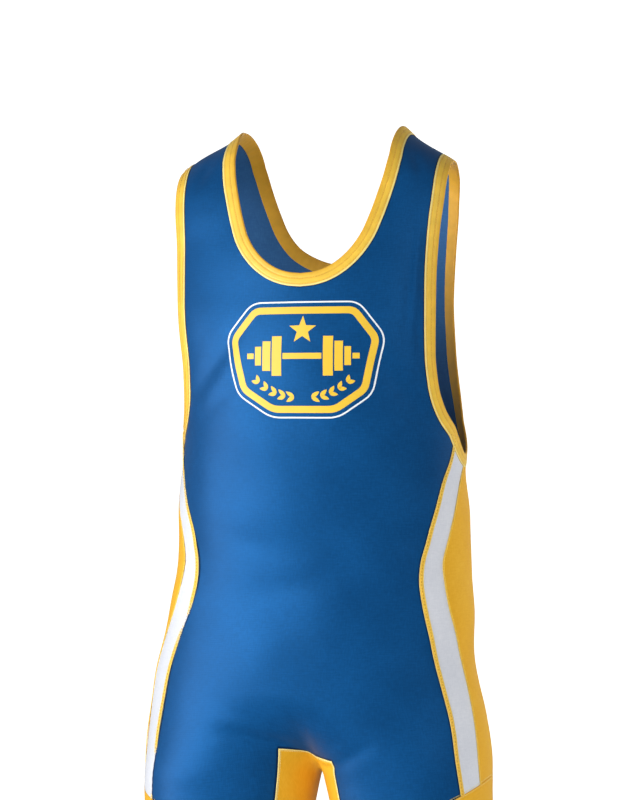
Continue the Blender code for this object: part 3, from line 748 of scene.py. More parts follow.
def seam_pull(points, normals, edges):
    """Steps that draw the border half the seam's gap inwards, mitred at each corner."""
    a, b = edges.T
    inward = unit(np.cross(normals[a] + normals[b], points[b] - points[a]))
    both = np.zeros_like(points)
    np.add.at(both, a, inward)
    np.add.at(both, b, inward)
    size = np.sum(both * both, axis=1, keepdims=True)
    return both / np.where(size > 0, size, 1.0) * SEAM_GAP


def border_distance(points, border):
    """How far each point is from the nearest of the border's points."""
    nearest = np.empty(len(points))
    for start in range(0, len(points), 2000):
        part = points[start:start + 2000]
        nearest[start:start + 2000] = np.sqrt(((part[:, None] - border[None])**2).sum(-1).min(axis=1))
    return nearest


print("rim edges of a 3 by 4 grid:", len(rim_edges(grid_quads(3, 4))))

# %% The knit's own map, in metres round the body and up the cloth
ARC_HEIGHTS, ARC_TURNS = np.linspace(-0.80, 0.10, 181), np.linspace(0, math.pi, 241)


def arc_table():
    """The run round each level oval from its front middle, by adding chords."""
    height, turn = ARC_HEIGHTS[:, None], ARC_TURNS[None, :]
    reach = (np.abs(np.sin(turn))**OVAL_POWER + np.abs(np.cos(turn))**OVAL_POWER)**(-1 / OVAL_POWER)
    deep = np.where(turn < math.pi / 2, read(FIGURE, "front", height), read(FIGURE, "back", height))
    x, y = read(FIGURE, "wide", height) * reach * np.sin(turn), deep * reach * np.cos(turn)
    chord = np.hypot(np.diff(x, axis=1), np.diff(y, axis=1))
    return np.concatenate([np.zeros((len(height), 1)), np.cumsum(chord, axis=1)], axis=1)


ARC = arc_table()
OVER_SHOULDER, SHOULDER_DEPTH = (-0.11, -0.02), 0.095


def cloth_map(points, face):
    """u is the run round the body from the middle of a face; v is the height, led on over the shoulder."""
    x, y, z = points.T
    deep = np.where(y < 0, read(FIGURE, "front", z), read(FIGURE, "back", z))
    turn = np.arctan2(np.abs(x) / read(FIGURE, "wide", z), -y / deep)
    row = np.clip((z - ARC_HEIGHTS[0]) / (ARC_HEIGHTS[1] - ARC_HEIGHTS[0]), 0, len(ARC_HEIGHTS) - 1.001)
    column = np.clip(turn / (ARC_TURNS[1] - ARC_TURNS[0]), 0, len(ARC_TURNS) - 1.001)
    i, j = row.astype(int), column.astype(int)
    s, t = row - i, column - j
    run = ((1 - s) * ((1 - t) * ARC[i, j] + t * ARC[i, j + 1])
           + s * ((1 - t) * ARC[i + 1, j] + t * ARC[i + 1, j + 1]))
    if face == BACK:
        run = (1 - s) * ARC[i, -1] + s * ARC[i + 1, -1] - run
    lead = ease(*OVER_SHOULDER, z) * (SHOULDER_DEPTH - np.abs(y)) * 0.9
    return np.stack([np.sign(x) * run, z + lead], axis=1)


print("half girth at the chest: %.0f mm" % (1000 * ARC[np.argmin(np.abs(ARC_HEIGHTS + 0.25)), -1]))


def volume(points, quads):
    """Six times the signed volume of closed quads, by the triple product at two triangles of each."""
    a, b, c, d = (points[quads[:, k]] for k in range(4))
    return float((a * np.cross(b, c)).sum() + (a * np.cross(c, d)).sum())


def make_piece(name, points, quads, finishes, inside=None, corner_map=None, marks=None):
    """Make a closed piece whose faces point outwards. inside marks the quads with the second finish."""
    if volume(points, quads) < 0:
        quads = quads[:, ::-1]
        corner_map = None if corner_map is None else corner_map[:, ::-1]
    mesh = bpy.data.meshes.new(name)
    mesh.vertices.add(len(points))
    mesh.vertices.foreach_set("co", points.astype(np.float32).ravel())
    mesh.loops.add(quads.size)
    mesh.loops.foreach_set("vertex_index", quads.astype(np.int32).ravel())
    mesh.polygons.add(len(quads))
    mesh.polygons.foreach_set("loop_start", np.arange(0, quads.size, 4, dtype=np.int32))
    if inside is not None:
        mesh.polygons.foreach_set("material_index", inside.astype(np.int32))
    mesh.update(calc_edges=True)
    mesh.validate()
    if corner_map is not None:
        layer = mesh.uv_layers.new(name="cloth")
        layer.data.foreach_set("uv", corner_map.astype(np.float32).ravel())
    for mark, values in (marks or {}).items():
        mesh.attributes.new(mark, "FLOAT", "POINT").data.foreach_set("value", values.astype(np.float32))
    mesh.shade_smooth()
    mesh.set_sharp_from_angle(angle=math.radians(50))
    for finish in finishes:
        mesh.materials.append(finish)
    piece = bpy.data.objects.new(name, mesh)
    bpy.context.scene.collection.objects.link(piece)
    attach(piece, "root")
    print("%-28s %7d triangles" % (name, 2 * len(quads)))
    return piece


# %% Build a wall of cloth
CLOTH = 0.0012
# Along a seam the thread draws the cloth into small ripples
PUCKER_REACH, PUCKER_PITCH, PUCKER_RISE = 0.0045, 0.0075, 0.00013


def cloth_wall(name, grids, finishes, face=FRONT, thickness=CLOTH, own_map=None):
    """A wall of cloth over grids on the figure: outer sheet, inner sheet and rim."""
    points, quads = weld(grids)
    normals = outward(points)
    edges = rim_edges(quads)
    mapped = own_map(points) if own_map else cloth_map(points, face)
    seam = border_distance(points, points[np.unique(edges)])
    near = np.exp(-(seam / PUCKER_REACH)**2)
    pucker = PUCKER_RISE * near * np.sin(2 * math.pi * (mapped[:, 1] + 0.35 * mapped[:, 0]) / PUCKER_PITCH)
    base = points + normals * (relief(points) + pucker)[:, None] + seam_pull(points, normals, edges)
    outer, inner = posed(base), posed(base - normals * thickness)
    total = len(points)
    faces = closed_sheet(quads, edges, total)
    inside = np.repeat([0, 1, 0], [len(quads), len(quads), len(edges)])
    worn = np.linalg.norm(np.cross(outer[quads[:, 2]] - outer[quads[:, 0]],
                                   outer[quads[:, 3]] - outer[quads[:, 1]]), axis=1).sum() / 2
    piece = make_piece(name, np.vstack([outer, inner]), faces, finishes, inside,
                       np.vstack([mapped, mapped])[faces], {"seam_mm": np.tile(seam * 1000, 2)})
    piece["worn_area"] = float(worn)
    piece["worn_width"] = float(np.ptp(mapped[:, 0]))
    piece["worn_length"] = float(np.ptp(mapped[:, 1]))
    return piece


print("cloth: %.1f mm thick" % (1000 * CLOTH))

# %% [markdown]
# ## Finishes
#
# The suit is a satin warp knit of polyester and elastane. Its yarn is bright, so the cloth has a soft,
# wide gloss and a faint sheen at grazing angles, and fine columns of loops run up it. A picture of
# cloth could be wrapped round it, but nodes keep the pattern sharp at every distance. The columns are
# a sine across the map, the rows a sine up it, and slow noise varies the dye as stretched cloth does.

# %% Colours, and one helper that adds a node
def linear(code, alpha=1.0):
    """An sRGB hex colour as linear light: ((c + 0.055) / 1.055) to the power 2.4 above the toe."""
    channels = [int(code[k:k + 2], 16) / 255 for k in (0, 2, 4)]
    return (*[c / 12.92 if c <= 0.04045 else ((c + 0.055) / 1.055)**2.4 for c in channels], alpha)


def connect(tree, node, inputs):
    """Give each named input of a node a value, or link it to the output that is given."""
    for socket, value in inputs.items():
        if isinstance(value, bpy.types.NodeSocket):
            tree.links.new(value, node.inputs[socket])
        else:
            node.inputs[socket].default_value = value


def add(tree, kind, inputs=None, **settings):
    """Add a node, change its settings and connect its inputs."""
    node = tree.nodes.new(kind)
    for key, value in settings.items():
        setattr(node, key, value)
    connect(tree, node, inputs or {})
    return node


def start_finish(name):
    """An empty material, its tree and its shader, already linked to the output."""
    material = bpy.data.materials.new(name)
    material.use_nodes = True
    tree = material.node_tree
    tree.nodes.clear()
    shader = add(tree, "ShaderNodeBsdfPrincipled")
    add(tree, "ShaderNodeOutputMaterial", {"Surface": shader.outputs["BSDF"]})
    return material, tree, shader


print("royal blue in linear light:", [round(c, 3) for c in linear("1B5A9C")[:3]])

# %% Sizes of the knit
# Real columns are 0.45 mm apart and rows 0.6 mm. Both are drawn three times as coarse, because a
# millimetre is one pixel in the render and finer loops would vanish.
COLUMN_PITCH, ROW_PITCH = 0.0014, 0.0019
KNIT_DEPTH = 0.00009
# A wave texture's sine has one period in pi over ten units
WAVE_UNIT = math.pi / 10
# Noise cells a metre, across and up: streaks of yarn are 1.6 by 7 mm, streaks of rows 8 by 1.7 mm
YARN_STREAK, ROW_STREAK, DRIFT_CELLS = (640.0, 150.0, 1.0), (130.0, 600.0, 1.0), 14.0
STREAK_GAIN, STREAK_SHIFT, DRIFT_GAIN = 0.44, -0.09, 0.6
# The navy of the painted seam shade
SEAM_SHADOW = "041B38"
print("columns a centimetre, as drawn: %.0f" % (0.01 / COLUMN_PITCH))


# %% Satin warp knit
def satin_knit(name, shade, deep, pale, rough, sheen, tint, seam_shade=0.0, gloss=0.4, gloss_tint="FFFFFF"):
    """Two crossed waves, multiplied, are the bump; two stretched noises and a slow one vary the dye;
    seam_shade paints shade beside the seams.
    """
    material, tree, shader = start_finish(name)
    cloth = add(tree, "ShaderNodeUVMap", uv_map="cloth").outputs["UV"]
    columns = add(tree, "ShaderNodeTexWave", {"Vector": cloth, "Scale": WAVE_UNIT / COLUMN_PITCH,
                                              "Distortion": 0.6, "Detail": 1.0, "Detail Scale": 0.4},
                  wave_type="BANDS", bands_direction="X")
    rows = add(tree, "ShaderNodeTexWave", {"Vector": cloth, "Scale": WAVE_UNIT / ROW_PITCH,
                                           "Distortion": 0.8, "Detail": 1.0, "Detail Scale": 0.4},
               wave_type="BANDS", bands_direction="Y")
    loops = add(tree, "ShaderNodeMath", {0: columns.outputs["Fac"], 1: rows.outputs["Fac"]},
                operation="MULTIPLY")
    streaks = []
    for scale in (YARN_STREAK, ROW_STREAK):
        long = add(tree, "ShaderNodeMapping", {"Vector": cloth, "Scale": scale}).outputs["Vector"]
        streaks.append(add(tree, "ShaderNodeTexNoise", {"Vector": long, "Scale": 1.0, "Detail": 2.0}))
    drift = add(tree, "ShaderNodeTexNoise", {"Vector": cloth, "Scale": DRIFT_CELLS,
                                             "Detail": 3.0, "Roughness": 0.6})
    both = add(tree, "ShaderNodeMath", {k: streak.outputs["Fac"] for k, streak in enumerate(streaks)},
               operation="ADD")
    grain = add(tree, "ShaderNodeMath", {0: both.outputs[0], 1: STREAK_GAIN, 2: STREAK_SHIFT},
                operation="MULTIPLY_ADD")
    mix = add(tree, "ShaderNodeMath", {0: drift.outputs["Fac"], 1: DRIFT_GAIN, 2: grain.outputs[0]},
              operation="MULTIPLY_ADD")
    ramp = add(tree, "ShaderNodeValToRGB", {"Fac": mix.outputs[0]})
    ramp.color_ramp.elements[0].position, ramp.color_ramp.elements[1].position = 0.25, 1.0
    ramp.color_ramp.elements[0].color, ramp.color_ramp.elements[1].color = linear(deep), linear(pale)
    middle = ramp.color_ramp.elements.new(0.62)
    middle.color = linear(shade)
    colour = ramp.outputs["Color"]
    if seam_shade:
        # Within about 2 mm of a seam the cloth darkens to a line: partly the pressed knit, partly painted
        # shade of the seam
        mark = add(tree, "ShaderNodeAttribute", attribute_name="seam_mm").outputs["Fac"]
        press_and_seam_shade = add(tree, "ShaderNodeMapRange", {"Value": mark, "From Min": 1.5, "From Max": 3.3,
                                                 "To Min": seam_shade, "To Max": 0.0},
                    interpolation_type="SMOOTHSTEP")
        dark = add(tree, "ShaderNodeMixRGB", {"Fac": press_and_seam_shade.outputs["Result"], "Color1": colour,
                                              "Color2": linear(SEAM_SHADOW)})
        colour = dark.outputs["Color"]
    bump = add(tree, "ShaderNodeBump", {"Height": loops.outputs[0], "Strength": 0.55, "Distance": KNIT_DEPTH})
    connect(tree, shader, {
        "Base Color": colour, "Roughness": rough, "IOR": 1.54,
        "Specular IOR Level": gloss, "Specular Tint": linear(gloss_tint),
        "Sheen Weight": sheen, "Sheen Roughness": 0.45, "Sheen Tint": linear(tint),
        "Normal": bump.outputs["Normal"],
    })
    return material


print("streaks of yarn: %.1f by %.1f mm" % (1000 / YARN_STREAK[0], 1000 / YARN_STREAK[1]))

# %% The knit finishes, right side and wrong side
# The blue gets painted shade beside its seams, through seam_shade
BLUE = satin_knit("satin_warp_knit_blue", "0A4274", "063460", "10508A", 0.43, 0.03, "6CA8E8", seam_shade=0.92,
                  gloss=0.95, gloss_tint="4AA4FF")
WHITE = satin_knit("satin_warp_knit_white", "D9DCE4", "CDD1DA", "E6E8EE", 0.48, 0.15, "FFFFFF")
YELLOW = satin_knit("satin_warp_knit_yellow", "EBB02A", "DFA01C", "F4C03C", 0.52, 0.05, "FFE79A", gloss=0.25)
# The wrong side of the knit has dull yarn outside, so it has less gloss and a paler dye
BLUE_INSIDE = satin_knit("knit_wrong_side_blue", "265F97", "1E5488", "3470A8", 0.75, 0.10, "C8DCF0")
WHITE_INSIDE = satin_knit("knit_wrong_side_white", "D2D4DA", "C8CAD2", "DCDEE4", 0.78, 0.08, "FFFFFF")
YELLOW_INSIDE = satin_knit("knit_wrong_side_yellow", "DDAA45", "D09B36", "E8B954", 0.78, 0.08, "FFF0C8")
print("right sides:", BLUE.name, WHITE.name, YELLOW.name)

# %% Folded binding
# The binding is the same yellow knit cut across its stretch, so its ribs run along the strip, 1 mm apart
RIB_PITCH = 0.0010
# Across the strip, in millimetres from its lip: a painted highlight makes the lip pale, and painted
# shade darkens the cloth in both needle channels and in the fold
BINDING_PAINTED_SHADING = ((0.0, "FBEA96"), (1.3, "F9E180"), (2.5, "E9B233"), (3.6, "F6C945"), (7.2, "F6C945"),
                 (8.2, "E3A62C"), (9.2, "F4C541"), (13.0, "EDB736"), (15.0, "DFA32B"), (40.0, "EDB736"))


def folded_binding(name):
    """A wave gives fine ribs along the strip, a ramp painted steps of light and shade, and a noise slow
    drifts of dye.
    """
    material, tree, shader = start_finish(name)
    cloth = add(tree, "ShaderNodeUVMap", uv_map="cloth").outputs["UV"]
    ribs = add(tree, "ShaderNodeTexWave", {"Vector": cloth, "Scale": WAVE_UNIT / RIB_PITCH,
                                           "Distortion": 0.8},
               wave_type="BANDS", bands_direction="Y")
    step = add(tree, "ShaderNodeSeparateXYZ", {"Vector": cloth}).outputs["Y"]
    place = add(tree, "ShaderNodeMapRange", {"Value": step, "From Max": 0.001 * BINDING_PAINTED_SHADING[-1][0]})
    ramp = add(tree, "ShaderNodeValToRGB", {"Fac": place.outputs["Result"]})
    for at, shade in BINDING_PAINTED_SHADING[1:-1]:
        ramp.color_ramp.elements.new(at / BINDING_PAINTED_SHADING[-1][0])
    for stop, (at, shade) in zip(ramp.color_ramp.elements, BINDING_PAINTED_SHADING):
        stop.position, stop.color = at / BINDING_PAINTED_SHADING[-1][0], linear(shade)
    drift = add(tree, "ShaderNodeTexNoise", {"Vector": cloth, "Scale": 90.0, "Detail": 3.0})
    level = add(tree, "ShaderNodeMapRange", {"Value": drift.outputs["Fac"], "From Min": 0.25,
                                             "From Max": 0.75, "To Min": 0.88, "To Max": 1.08})
    dyed = add(tree, "ShaderNodeHueSaturation", {"Value": level.outputs["Result"],
                                                 "Color": ramp.outputs["Color"]})
    bump = add(tree, "ShaderNodeBump", {"Height": ribs.outputs["Fac"], "Strength": 0.35,
                                        "Distance": KNIT_DEPTH})
    connect(tree, shader, {
        "Base Color": dyed.outputs["Color"], "Roughness": 0.46, "IOR": 1.54,
        "Sheen Weight": 0.2, "Sheen Roughness": 0.4, "Sheen Tint": linear("FFF4C8"),
        "Normal": bump.outputs["Normal"],
    })
    return material


BINDING = folded_binding("folded_knit_binding_yellow")
print("steps of shade across the binding:", len(BINDING_PAINTED_SHADING))


# %% Sewing thread
def spun_thread(name, shade, rough):
    """Textured polyester sewing thread: a soft gloss, a little lighter and darker from loop to loop."""
    material, tree, shader = start_finish(name)
    place = add(tree, "ShaderNodeTexCoord").outputs["Object"]
    drift = add(tree, "ShaderNodeTexNoise", {"Vector": place, "Scale": 900.0, "Detail": 1.0})
    level = add(tree, "ShaderNodeMapRange", {"Value": drift.outputs["Fac"], "From Min": 0.3, "From Max": 0.7,
                                             "To Min": 0.82, "To Max": 1.12})
    colour = add(tree, "ShaderNodeHueSaturation", {"Value": level.outputs["Result"], "Color": linear(shade)})
    connect(tree, shader, {"Base Color": colour.outputs["Color"], "Roughness": rough,
                           "Sheen Weight": 0.3, "Sheen Roughness": 0.5, "Sheen Tint": linear("FFFFFF")})
    return material


THREAD = spun_thread("polyester_thread_yellow", "FFD84A", 0.5)
PALE_THREAD = spun_thread("polyester_thread_pale_yellow", "F9E38C", 0.5)
DEEP_THREAD = spun_thread("polyester_thread_deep_yellow", "C98E22", 0.6)
BINDING_THREAD = spun_thread("polyester_thread_golden", "F0C244", 0.5)
SHOULDER_THREAD = spun_thread("polyester_thread_blue", "174F8C", 0.55)
print("thread finishes:", sum("thread" in finish.name for finish in bpy.data.materials))


# %% Print film
def print_film(name, shade):
    """Heat-set print film: smoother than the knit, with the knit's columns still felt through it."""
    material, tree, shader = start_finish(name)
    cloth = add(tree, "ShaderNodeUVMap", uv_map="cloth").outputs["UV"]
    columns = add(tree, "ShaderNodeTexWave", {"Vector": cloth, "Scale": WAVE_UNIT / COLUMN_PITCH,
                                              "Distortion": 0.6},
                  wave_type="BANDS", bands_direction="X")
    drift = add(tree, "ShaderNodeTexNoise", {"Vector": cloth, "Scale": 50.0, "Detail": 2.0})
    level = add(tree, "ShaderNodeMapRange", {"Value": drift.outputs["Fac"], "To Min": 0.94, "To Max": 1.06})
    colour = add(tree, "ShaderNodeHueSaturation", {"Value": level.outputs["Result"], "Color": linear(shade)})
    bump = add(tree, "ShaderNodeBump", {"Height": columns.outputs["Fac"], "Strength": 0.25,
                                        "Distance": KNIT_DEPTH})
    connect(tree, shader, {"Base Color": colour.outputs["Color"], "Roughness": 0.42,
                           "Normal": bump.outputs["Normal"]})
    return material


FILM_YELLOW = print_film("heat_set_film_yellow", "F2C63C")
FILM_WHITE = print_film("heat_set_film_white", "EEF3F6")
print("materials in the file, with the solids' own:", len(bpy.data.materials))

# %% [markdown]
# ## Front and back
#
# Each is one cut of blue knit with both straps. A single grid can't follow a shape that has a neck, two
# straps and two legs, so the panel is ten patches: two side strips of four each, from the cuff over
# the chest to the shoulder seam, and two in the middle between them. Welded at their shared rows they
# are one sheet. The back isn't seen in the picture, so it follows the usual cut of such a suit.

# %% Make the front and the back
def shoulder_row():
    """The shoulder seam from the neck edge to the arm edge."""
    return top_point(np.linspace(SHOULDER_AT_NECK, SHOULDER_AT_ARM, STRIP_COLUMNS + 1), 0.0)


def gusset_top_row(line):
    """The level edge where the gusset meets the middle of a panel."""
    corner = line["trunk_in"][0]
    across = np.linspace(-corner[0], corner[0], CENTRE_COLUMNS + 1)
    row = face_point(across, corner[2], FRONT if corner[1] < 0 else BACK)
    row[0], row[-1] = mirrored(corner), corner
    return row


def panel_grids(line):
    """Two strips of four patches from cuff to shoulder, and two patches in the middle between them."""
    foot = foot_row(line["leg_in"][0], line["leg_out"][0], STRIP_COLUMNS)
    hip = level_row(line["trunk_in"][0], line["trunk_out"][0], STRIP_COLUMNS)
    chest = level_row(line["trunk_in"][-1], line["trunk_out"][-1], STRIP_COLUMNS)
    strap = level_row(line["strap_in"][0], line["strap_out"][0], STRIP_COLUMNS)
    strips = [
        patch(foot, hip, line["leg_in"], line["leg_out"]),
        patch(hip, chest, line["trunk_in"], line["trunk_out"]),
        patch(chest, strap, line["chest_in"], line["chest_out"]),
        patch(strap, shoulder_row(), line["strap_in"], line["strap_out"]),
    ]
    middle = level_row(mirrored(line["trunk_in"][-1]), line["trunk_in"][-1], CENTRE_COLUMNS)
    high = np.vstack([mirrored(line["neck_low"][::-1]), line["neck_low"][1:]])
    centre = [
        patch(gusset_top_row(line), middle, mirrored(line["trunk_in"]), line["trunk_in"]),
        patch(middle, high, mirrored(line["chest_in"]), line["chest_in"]),
    ]
    return strips + [mirrored(grid) for grid in strips] + centre


cloth_wall("front_cloth", panel_grids(LINES[FRONT]), (BLUE, BLUE_INSIDE), FRONT)
cloth_wall("back_cloth", panel_grids(LINES[BACK]), (BLUE, BLUE_INSIDE), BACK)

# %% [markdown]
# ## Stripes and side pieces
#
# The white stripe runs from the armhole to the cuff and bends in at the waist, which gives the suit its
# drawn-in line. Behind it the yellow side piece reaches to the back seam. Both are single patches
# between seams that are already there, and the right ones are the left ones mirrored.

# %% Make the stripes and the side pieces
STRIPE_GRID = patch(SIDE["stripe_foot"], SIDE["stripe_top"], SIDE["front"], SIDE["seam"])
SIDE_GRID = patch(SIDE["side_foot"], SIDE["side_top"], SIDE["seam"], SIDE["back"])
HALVES = {"left": lambda points: points, "right": mirrored}

for half, turned in HALVES.items():
    cloth_wall("stripe_cloth_" + half, [turned(STRIPE_GRID)], (WHITE, WHITE_INSIDE), FRONT)
    cloth_wall("side_cloth_" + half, [turned(SIDE_GRID)], (YELLOW, YELLOW_INSIDE), FRONT)

# %% [markdown]
# ## The gusset
#
# The gusset lets the legs move apart. It is one yellow piece that runs from the front between the legs
# to the back and down the inside of each leg. The top of each inner leg is a line bowed down under the
# fork, and the patch between both lines closes it.

# %% Make the gusset
def gusset_grids(lines):
    """Two inner legs, and the saddle between their upper edges."""
    front, back = lines[FRONT]["leg_in"], lines[BACK]["leg_in"]
    t = np.linspace(0, 1, GUSSET_ROWS + 1)[:, None]
    bow = np.sin(math.pi * t) * np.array([CROTCH_PINCH, 0.0, CROTCH_DIP])
    beside = settle((1 - t) * front[-1] + t * back[-1] - bow)
    beside[0], beside[-1] = front[-1], back[-1]
    leg = patch(foot_row(front[0], back[0], GUSSET_ROWS), beside, front, back)
    under = patch(gusset_top_row(lines[FRONT]), gusset_top_row(lines[BACK]), mirrored(beside), beside)
    return [leg, mirrored(leg), under]


GUSSET_GRIDS = gusset_grids(LINES)
FORK_LINE = GUSSET_GRIDS[0][-1]


def gusset_map(points):
    """u is the place across, led on down each inner leg from the fork; v is the run from front to back."""
    x, y, z = points.T
    drop = np.clip(np.interp(y, FORK_LINE[:, 1], FORK_LINE[:, 2]) - z, 0, None)
    return np.stack([x + np.sign(x) * drop, 1.2 * y], axis=1)


cloth_wall("gusset_cloth", GUSSET_GRIDS, (YELLOW, YELLOW_INSIDE), own_map=gusset_map)

# %% [markdown]
# ## Rolled edges: cuffs and bindings
#
# A cuff is a doubled band with a fold at the hem. A binding is a strip folded round the raw edge, with
# a lip on both sides of the panel. A flat wall would look like card there. So both are profiles carried
# along a closed line: the profile is a table of steps across the strip and heights off the figure, and
# the ring of points at each place along the line is joined to the next.

# %% Carry a profile along a line
def sideways(line, toward):
    """The unit direction across a closed or open line, in the figure's surface, towards a point."""
    closed = np.allclose(line[0], line[-1])
    ends = np.vstack([line[-2], line, line[1]]) if closed else np.vstack([line[0], line, line[-1]])
    side = unit(np.cross(outward(line), ends[2:] - ends[:-2]))
    return side * np.sign(np.sum(side * (toward - line)))


def carried(line, side, profile):
    """Base points across a line, each settled on the figure: one row for each step of the profile."""
    steps, place = np.unique(np.round(profile["across"], 6), return_inverse=True)
    rows = settle(line[None] + side[None] * (steps[:, None, None] / 1000))
    return rows[place.reshape(-1)]


def profile_piece(name, base, profile, finish, wobble=0.0):
    """A ring of profile points at each place of a closed line, raised off the base and joined round."""
    base = base[:, :-1]
    normals = outward(base)
    run = lengths(base[len(base) // 2])
    swell = wobble * np.sin(2 * math.pi * run / PUCKER_PITCH)[None, :]
    rise = profile["rise"][:, None] / 1000 * (1 + swell)
    points = posed(base + normals * (relief(base) + rise)[..., None])
    rows, columns = base.shape[:2]
    quads = grid_quads(rows, columns, True, True)
    chords = np.hypot(np.diff(profile["across"]), np.diff(profile["rise"])) / 1000
    across = np.concatenate([[0], np.cumsum(chords)])
    across = np.append(across, across[-1] + 0.001)
    along = np.append(run, run[-1] + run[1])
    row, column = np.divmod(np.arange(rows * columns), columns)
    u = np.stack([along[column], along[column + 1], along[column + 1], along[column]], axis=1)
    v = np.stack([across[row], across[row], across[row + 1], across[row + 1]], axis=1)
    corner = np.stack([u, v], axis=-1)
    piece = make_piece(name, points.reshape(-1, 3), quads, (finish,), corner_map=corner)
    piece["worn_width"], piece["worn_length"] = float(np.ptp(profile["across"]) / 1000), float(along[-1])
    piece["worn_area"] = piece["worn_width"] * piece["worn_length"]
    return piece


# A point behind the left hip: the stitches of the side seams count their steps across towards it
OUTWARDS = np.array([0.15, 0.3, -0.5])
print("a step back from the front side seam:", np.round(sideways(SIDE["front"], OUTWARDS)[0], 2))

# %% Make the cuffs
# Millimetres below the cuff seam, and off the figure
CUFF_ROWS, CUFF_OUTSIDE, CUFF_INSIDE, CUFF_CHANNEL = (1.6, 43.5), 0.30, -1.5, 0.22
CUFF_POINTS = 260


def cuff_profile():
    """Outside face with two needle rows pressed in, the folded hem, and the inside face; millimetres."""
    across = np.concatenate([np.linspace(0.2, 2.0, 4), np.linspace(3.0, 40.0, 12),
                             np.linspace(41.0, 47.0, 7)])
    channels = [CUFF_CHANNEL * np.exp(-((across - row) / wide)**2)
                for row, wide in zip(CUFF_ROWS, (0.8, 0.9))]
    outer = CUFF_OUTSIDE - channels[0] - channels[1]
    turn = np.linspace(80, -80, 7)
    hem = 47.2 + 0.9 * np.cos(np.radians(turn)), -0.62 + 0.92 * np.sin(np.radians(turn))
    inner = np.linspace(46.5, 0.2, 12)
    return {"across": np.concatenate([across, hem[0], inner]),
            "rise": np.concatenate([outer, hem[1], np.full(len(inner), CUFF_INSIDE)])}


def cuff_ring(lines, side):
    """The cuff seam all round the left leg."""
    front, back = lines[FRONT], lines[BACK]
    front_foot = foot_row(front["leg_in"][0], front["leg_out"][0], STRIP_COLUMNS * 2)
    back_foot = foot_row(back["leg_in"][0], back["leg_out"][0], STRIP_COLUMNS * 2)
    inner = foot_row(front["leg_in"][0], back["leg_in"][0], GUSSET_ROWS)
    ring = np.vstack([front_foot, side["stripe_foot"][1:], side["side_foot"][1:],
                      back_foot[::-1][1:], inner[::-1][1:]])
    return resample(ring, CUFF_POINTS)


CUFF_RING = cuff_ring(LINES, SIDE)
CUFF_RING[-1] = CUFF_RING[0]
CUFF_PROFILE = cuff_profile()


def cuff_base(across):
    """Points of the leg below the cuff seam, by a drop in millimetres at the same turn."""
    turns = turn_of(CUFF_RING)
    return np.stack([leg_point(CUFF_RING[:, 2] - drop / 1000, turns) for drop in across])


CUFF_BASE = cuff_base(CUFF_PROFILE["across"])
for half, turned in HALVES.items():
    profile_piece("cuff_cloth_" + half, turned(CUFF_BASE), CUFF_PROFILE, YELLOW)

# %% Shape the binding
# Millimetres across the strip: the first needle row holds the lip, the second runs along the middle
BINDING_ROWS, BINDING_INSIDE = (1.5, 7.0), -1.85


def binding_profile():
    """Outer face with its needle rows, the fold, the inner face, and the notch for the panel's edge."""
    lip, middle = BINDING_ROWS
    outer = np.linspace(-1.2, 12.2, 22)
    crown = 0.52 + 0.34 * np.clip(1 - ((outer - 5.5) / 7.4)**4, 0, None)
    rows = 0.34 * np.exp(-((outer - lip) / 0.75)**2) + 0.26 * np.exp(-((outer - middle) / 0.8)**2)
    turn = np.radians(np.linspace(75, -75, 7))
    fold = 12.2 + 0.8 * np.cos(turn), -0.66 + 1.12 * np.sin(turn)
    inner = np.array([12.0, 9.0, 6.0, 3.0, 0.5, -1.2])
    notch = np.array([(-1.3, -1.55), (0.1, -1.5), (0.1, 0.05), (-1.3, 0.10)])
    return {"across": np.concatenate([outer, fold[0], inner, notch[:, 0]]),
            "rise": np.concatenate([crown - rows, fold[1], np.full(6, BINDING_INSIDE), notch[:, 1]])}


BINDING_PROFILE = binding_profile()
print("points round the binding's profile:", len(BINDING_PROFILE["rise"]))


# %% Make the bindings
def neck_edge(lines):
    """The closed edge of the neck."""
    front = np.vstack([lines[FRONT]["neck_low"], lines[FRONT]["strap_in"][1:]])
    back = np.vstack([lines[BACK]["neck_low"], lines[BACK]["strap_in"][1:]])
    half = np.vstack([front, back[::-1][1:]])
    return np.vstack([half, mirrored(half[::-1][1:])])


def arm_edge(lines, side):
    """The closed edge of the left armhole."""
    front, back = lines[FRONT], lines[BACK]
    return np.vstack([front["chest_out"], front["strap_out"][1:], back["strap_out"][::-1][1:],
                      back["chest_out"][::-1][1:], side["side_top"][::-1][1:], side["stripe_top"][::-1][1:]])


BINDING_STEP, BINDING_WOBBLE = 0.0018, 0.05
OPENINGS = {"neck": np.array([0.0, 0.0, 0.03]), "arm": np.array([0.17, 0.0, -0.17])}
EDGES = {"neck": neck_edge(LINES), "arm": arm_edge(LINES, SIDE)}
for name, edge in EDGES.items():
    EDGES[name] = settle(resample(edge, int(lengths(edge)[-1] / BINDING_STEP)))
    EDGES[name][-1] = EDGES[name][0]
    print(name, "edge: %.0f mm" % (1000 * lengths(EDGES[name])[-1]))


def binding_base(name):
    """The binding's base points, towards its opening."""
    return carried(EDGES[name], sideways(EDGES[name], OPENINGS[name]), BINDING_PROFILE)


profile_piece("neck_binding_cloth", binding_base("neck"), BINDING_PROFILE, BINDING,
              BINDING_WOBBLE)
ARM_BASE = binding_base("arm")
for half, turned in HALVES.items():
    profile_piece("armhole_binding_cloth_" + half, turned(ARM_BASE), BINDING_PROFILE, BINDING,
                  BINDING_WOBBLE)

# %% [markdown]
# ## Stitches
#
# Stretch suits are sewn with coverstitch and flatlock, because those seams stretch with the knit. Two
# needle threads show as rows of short raised dashes, and a looper thread zigzags between them. A bump
# map could hint at them, but close up they are round threads with a shadow. So each dash is a small
# arched tube, and the looper is one long tube. A dash has only a few dozen faces, because there are
# thousands of them.

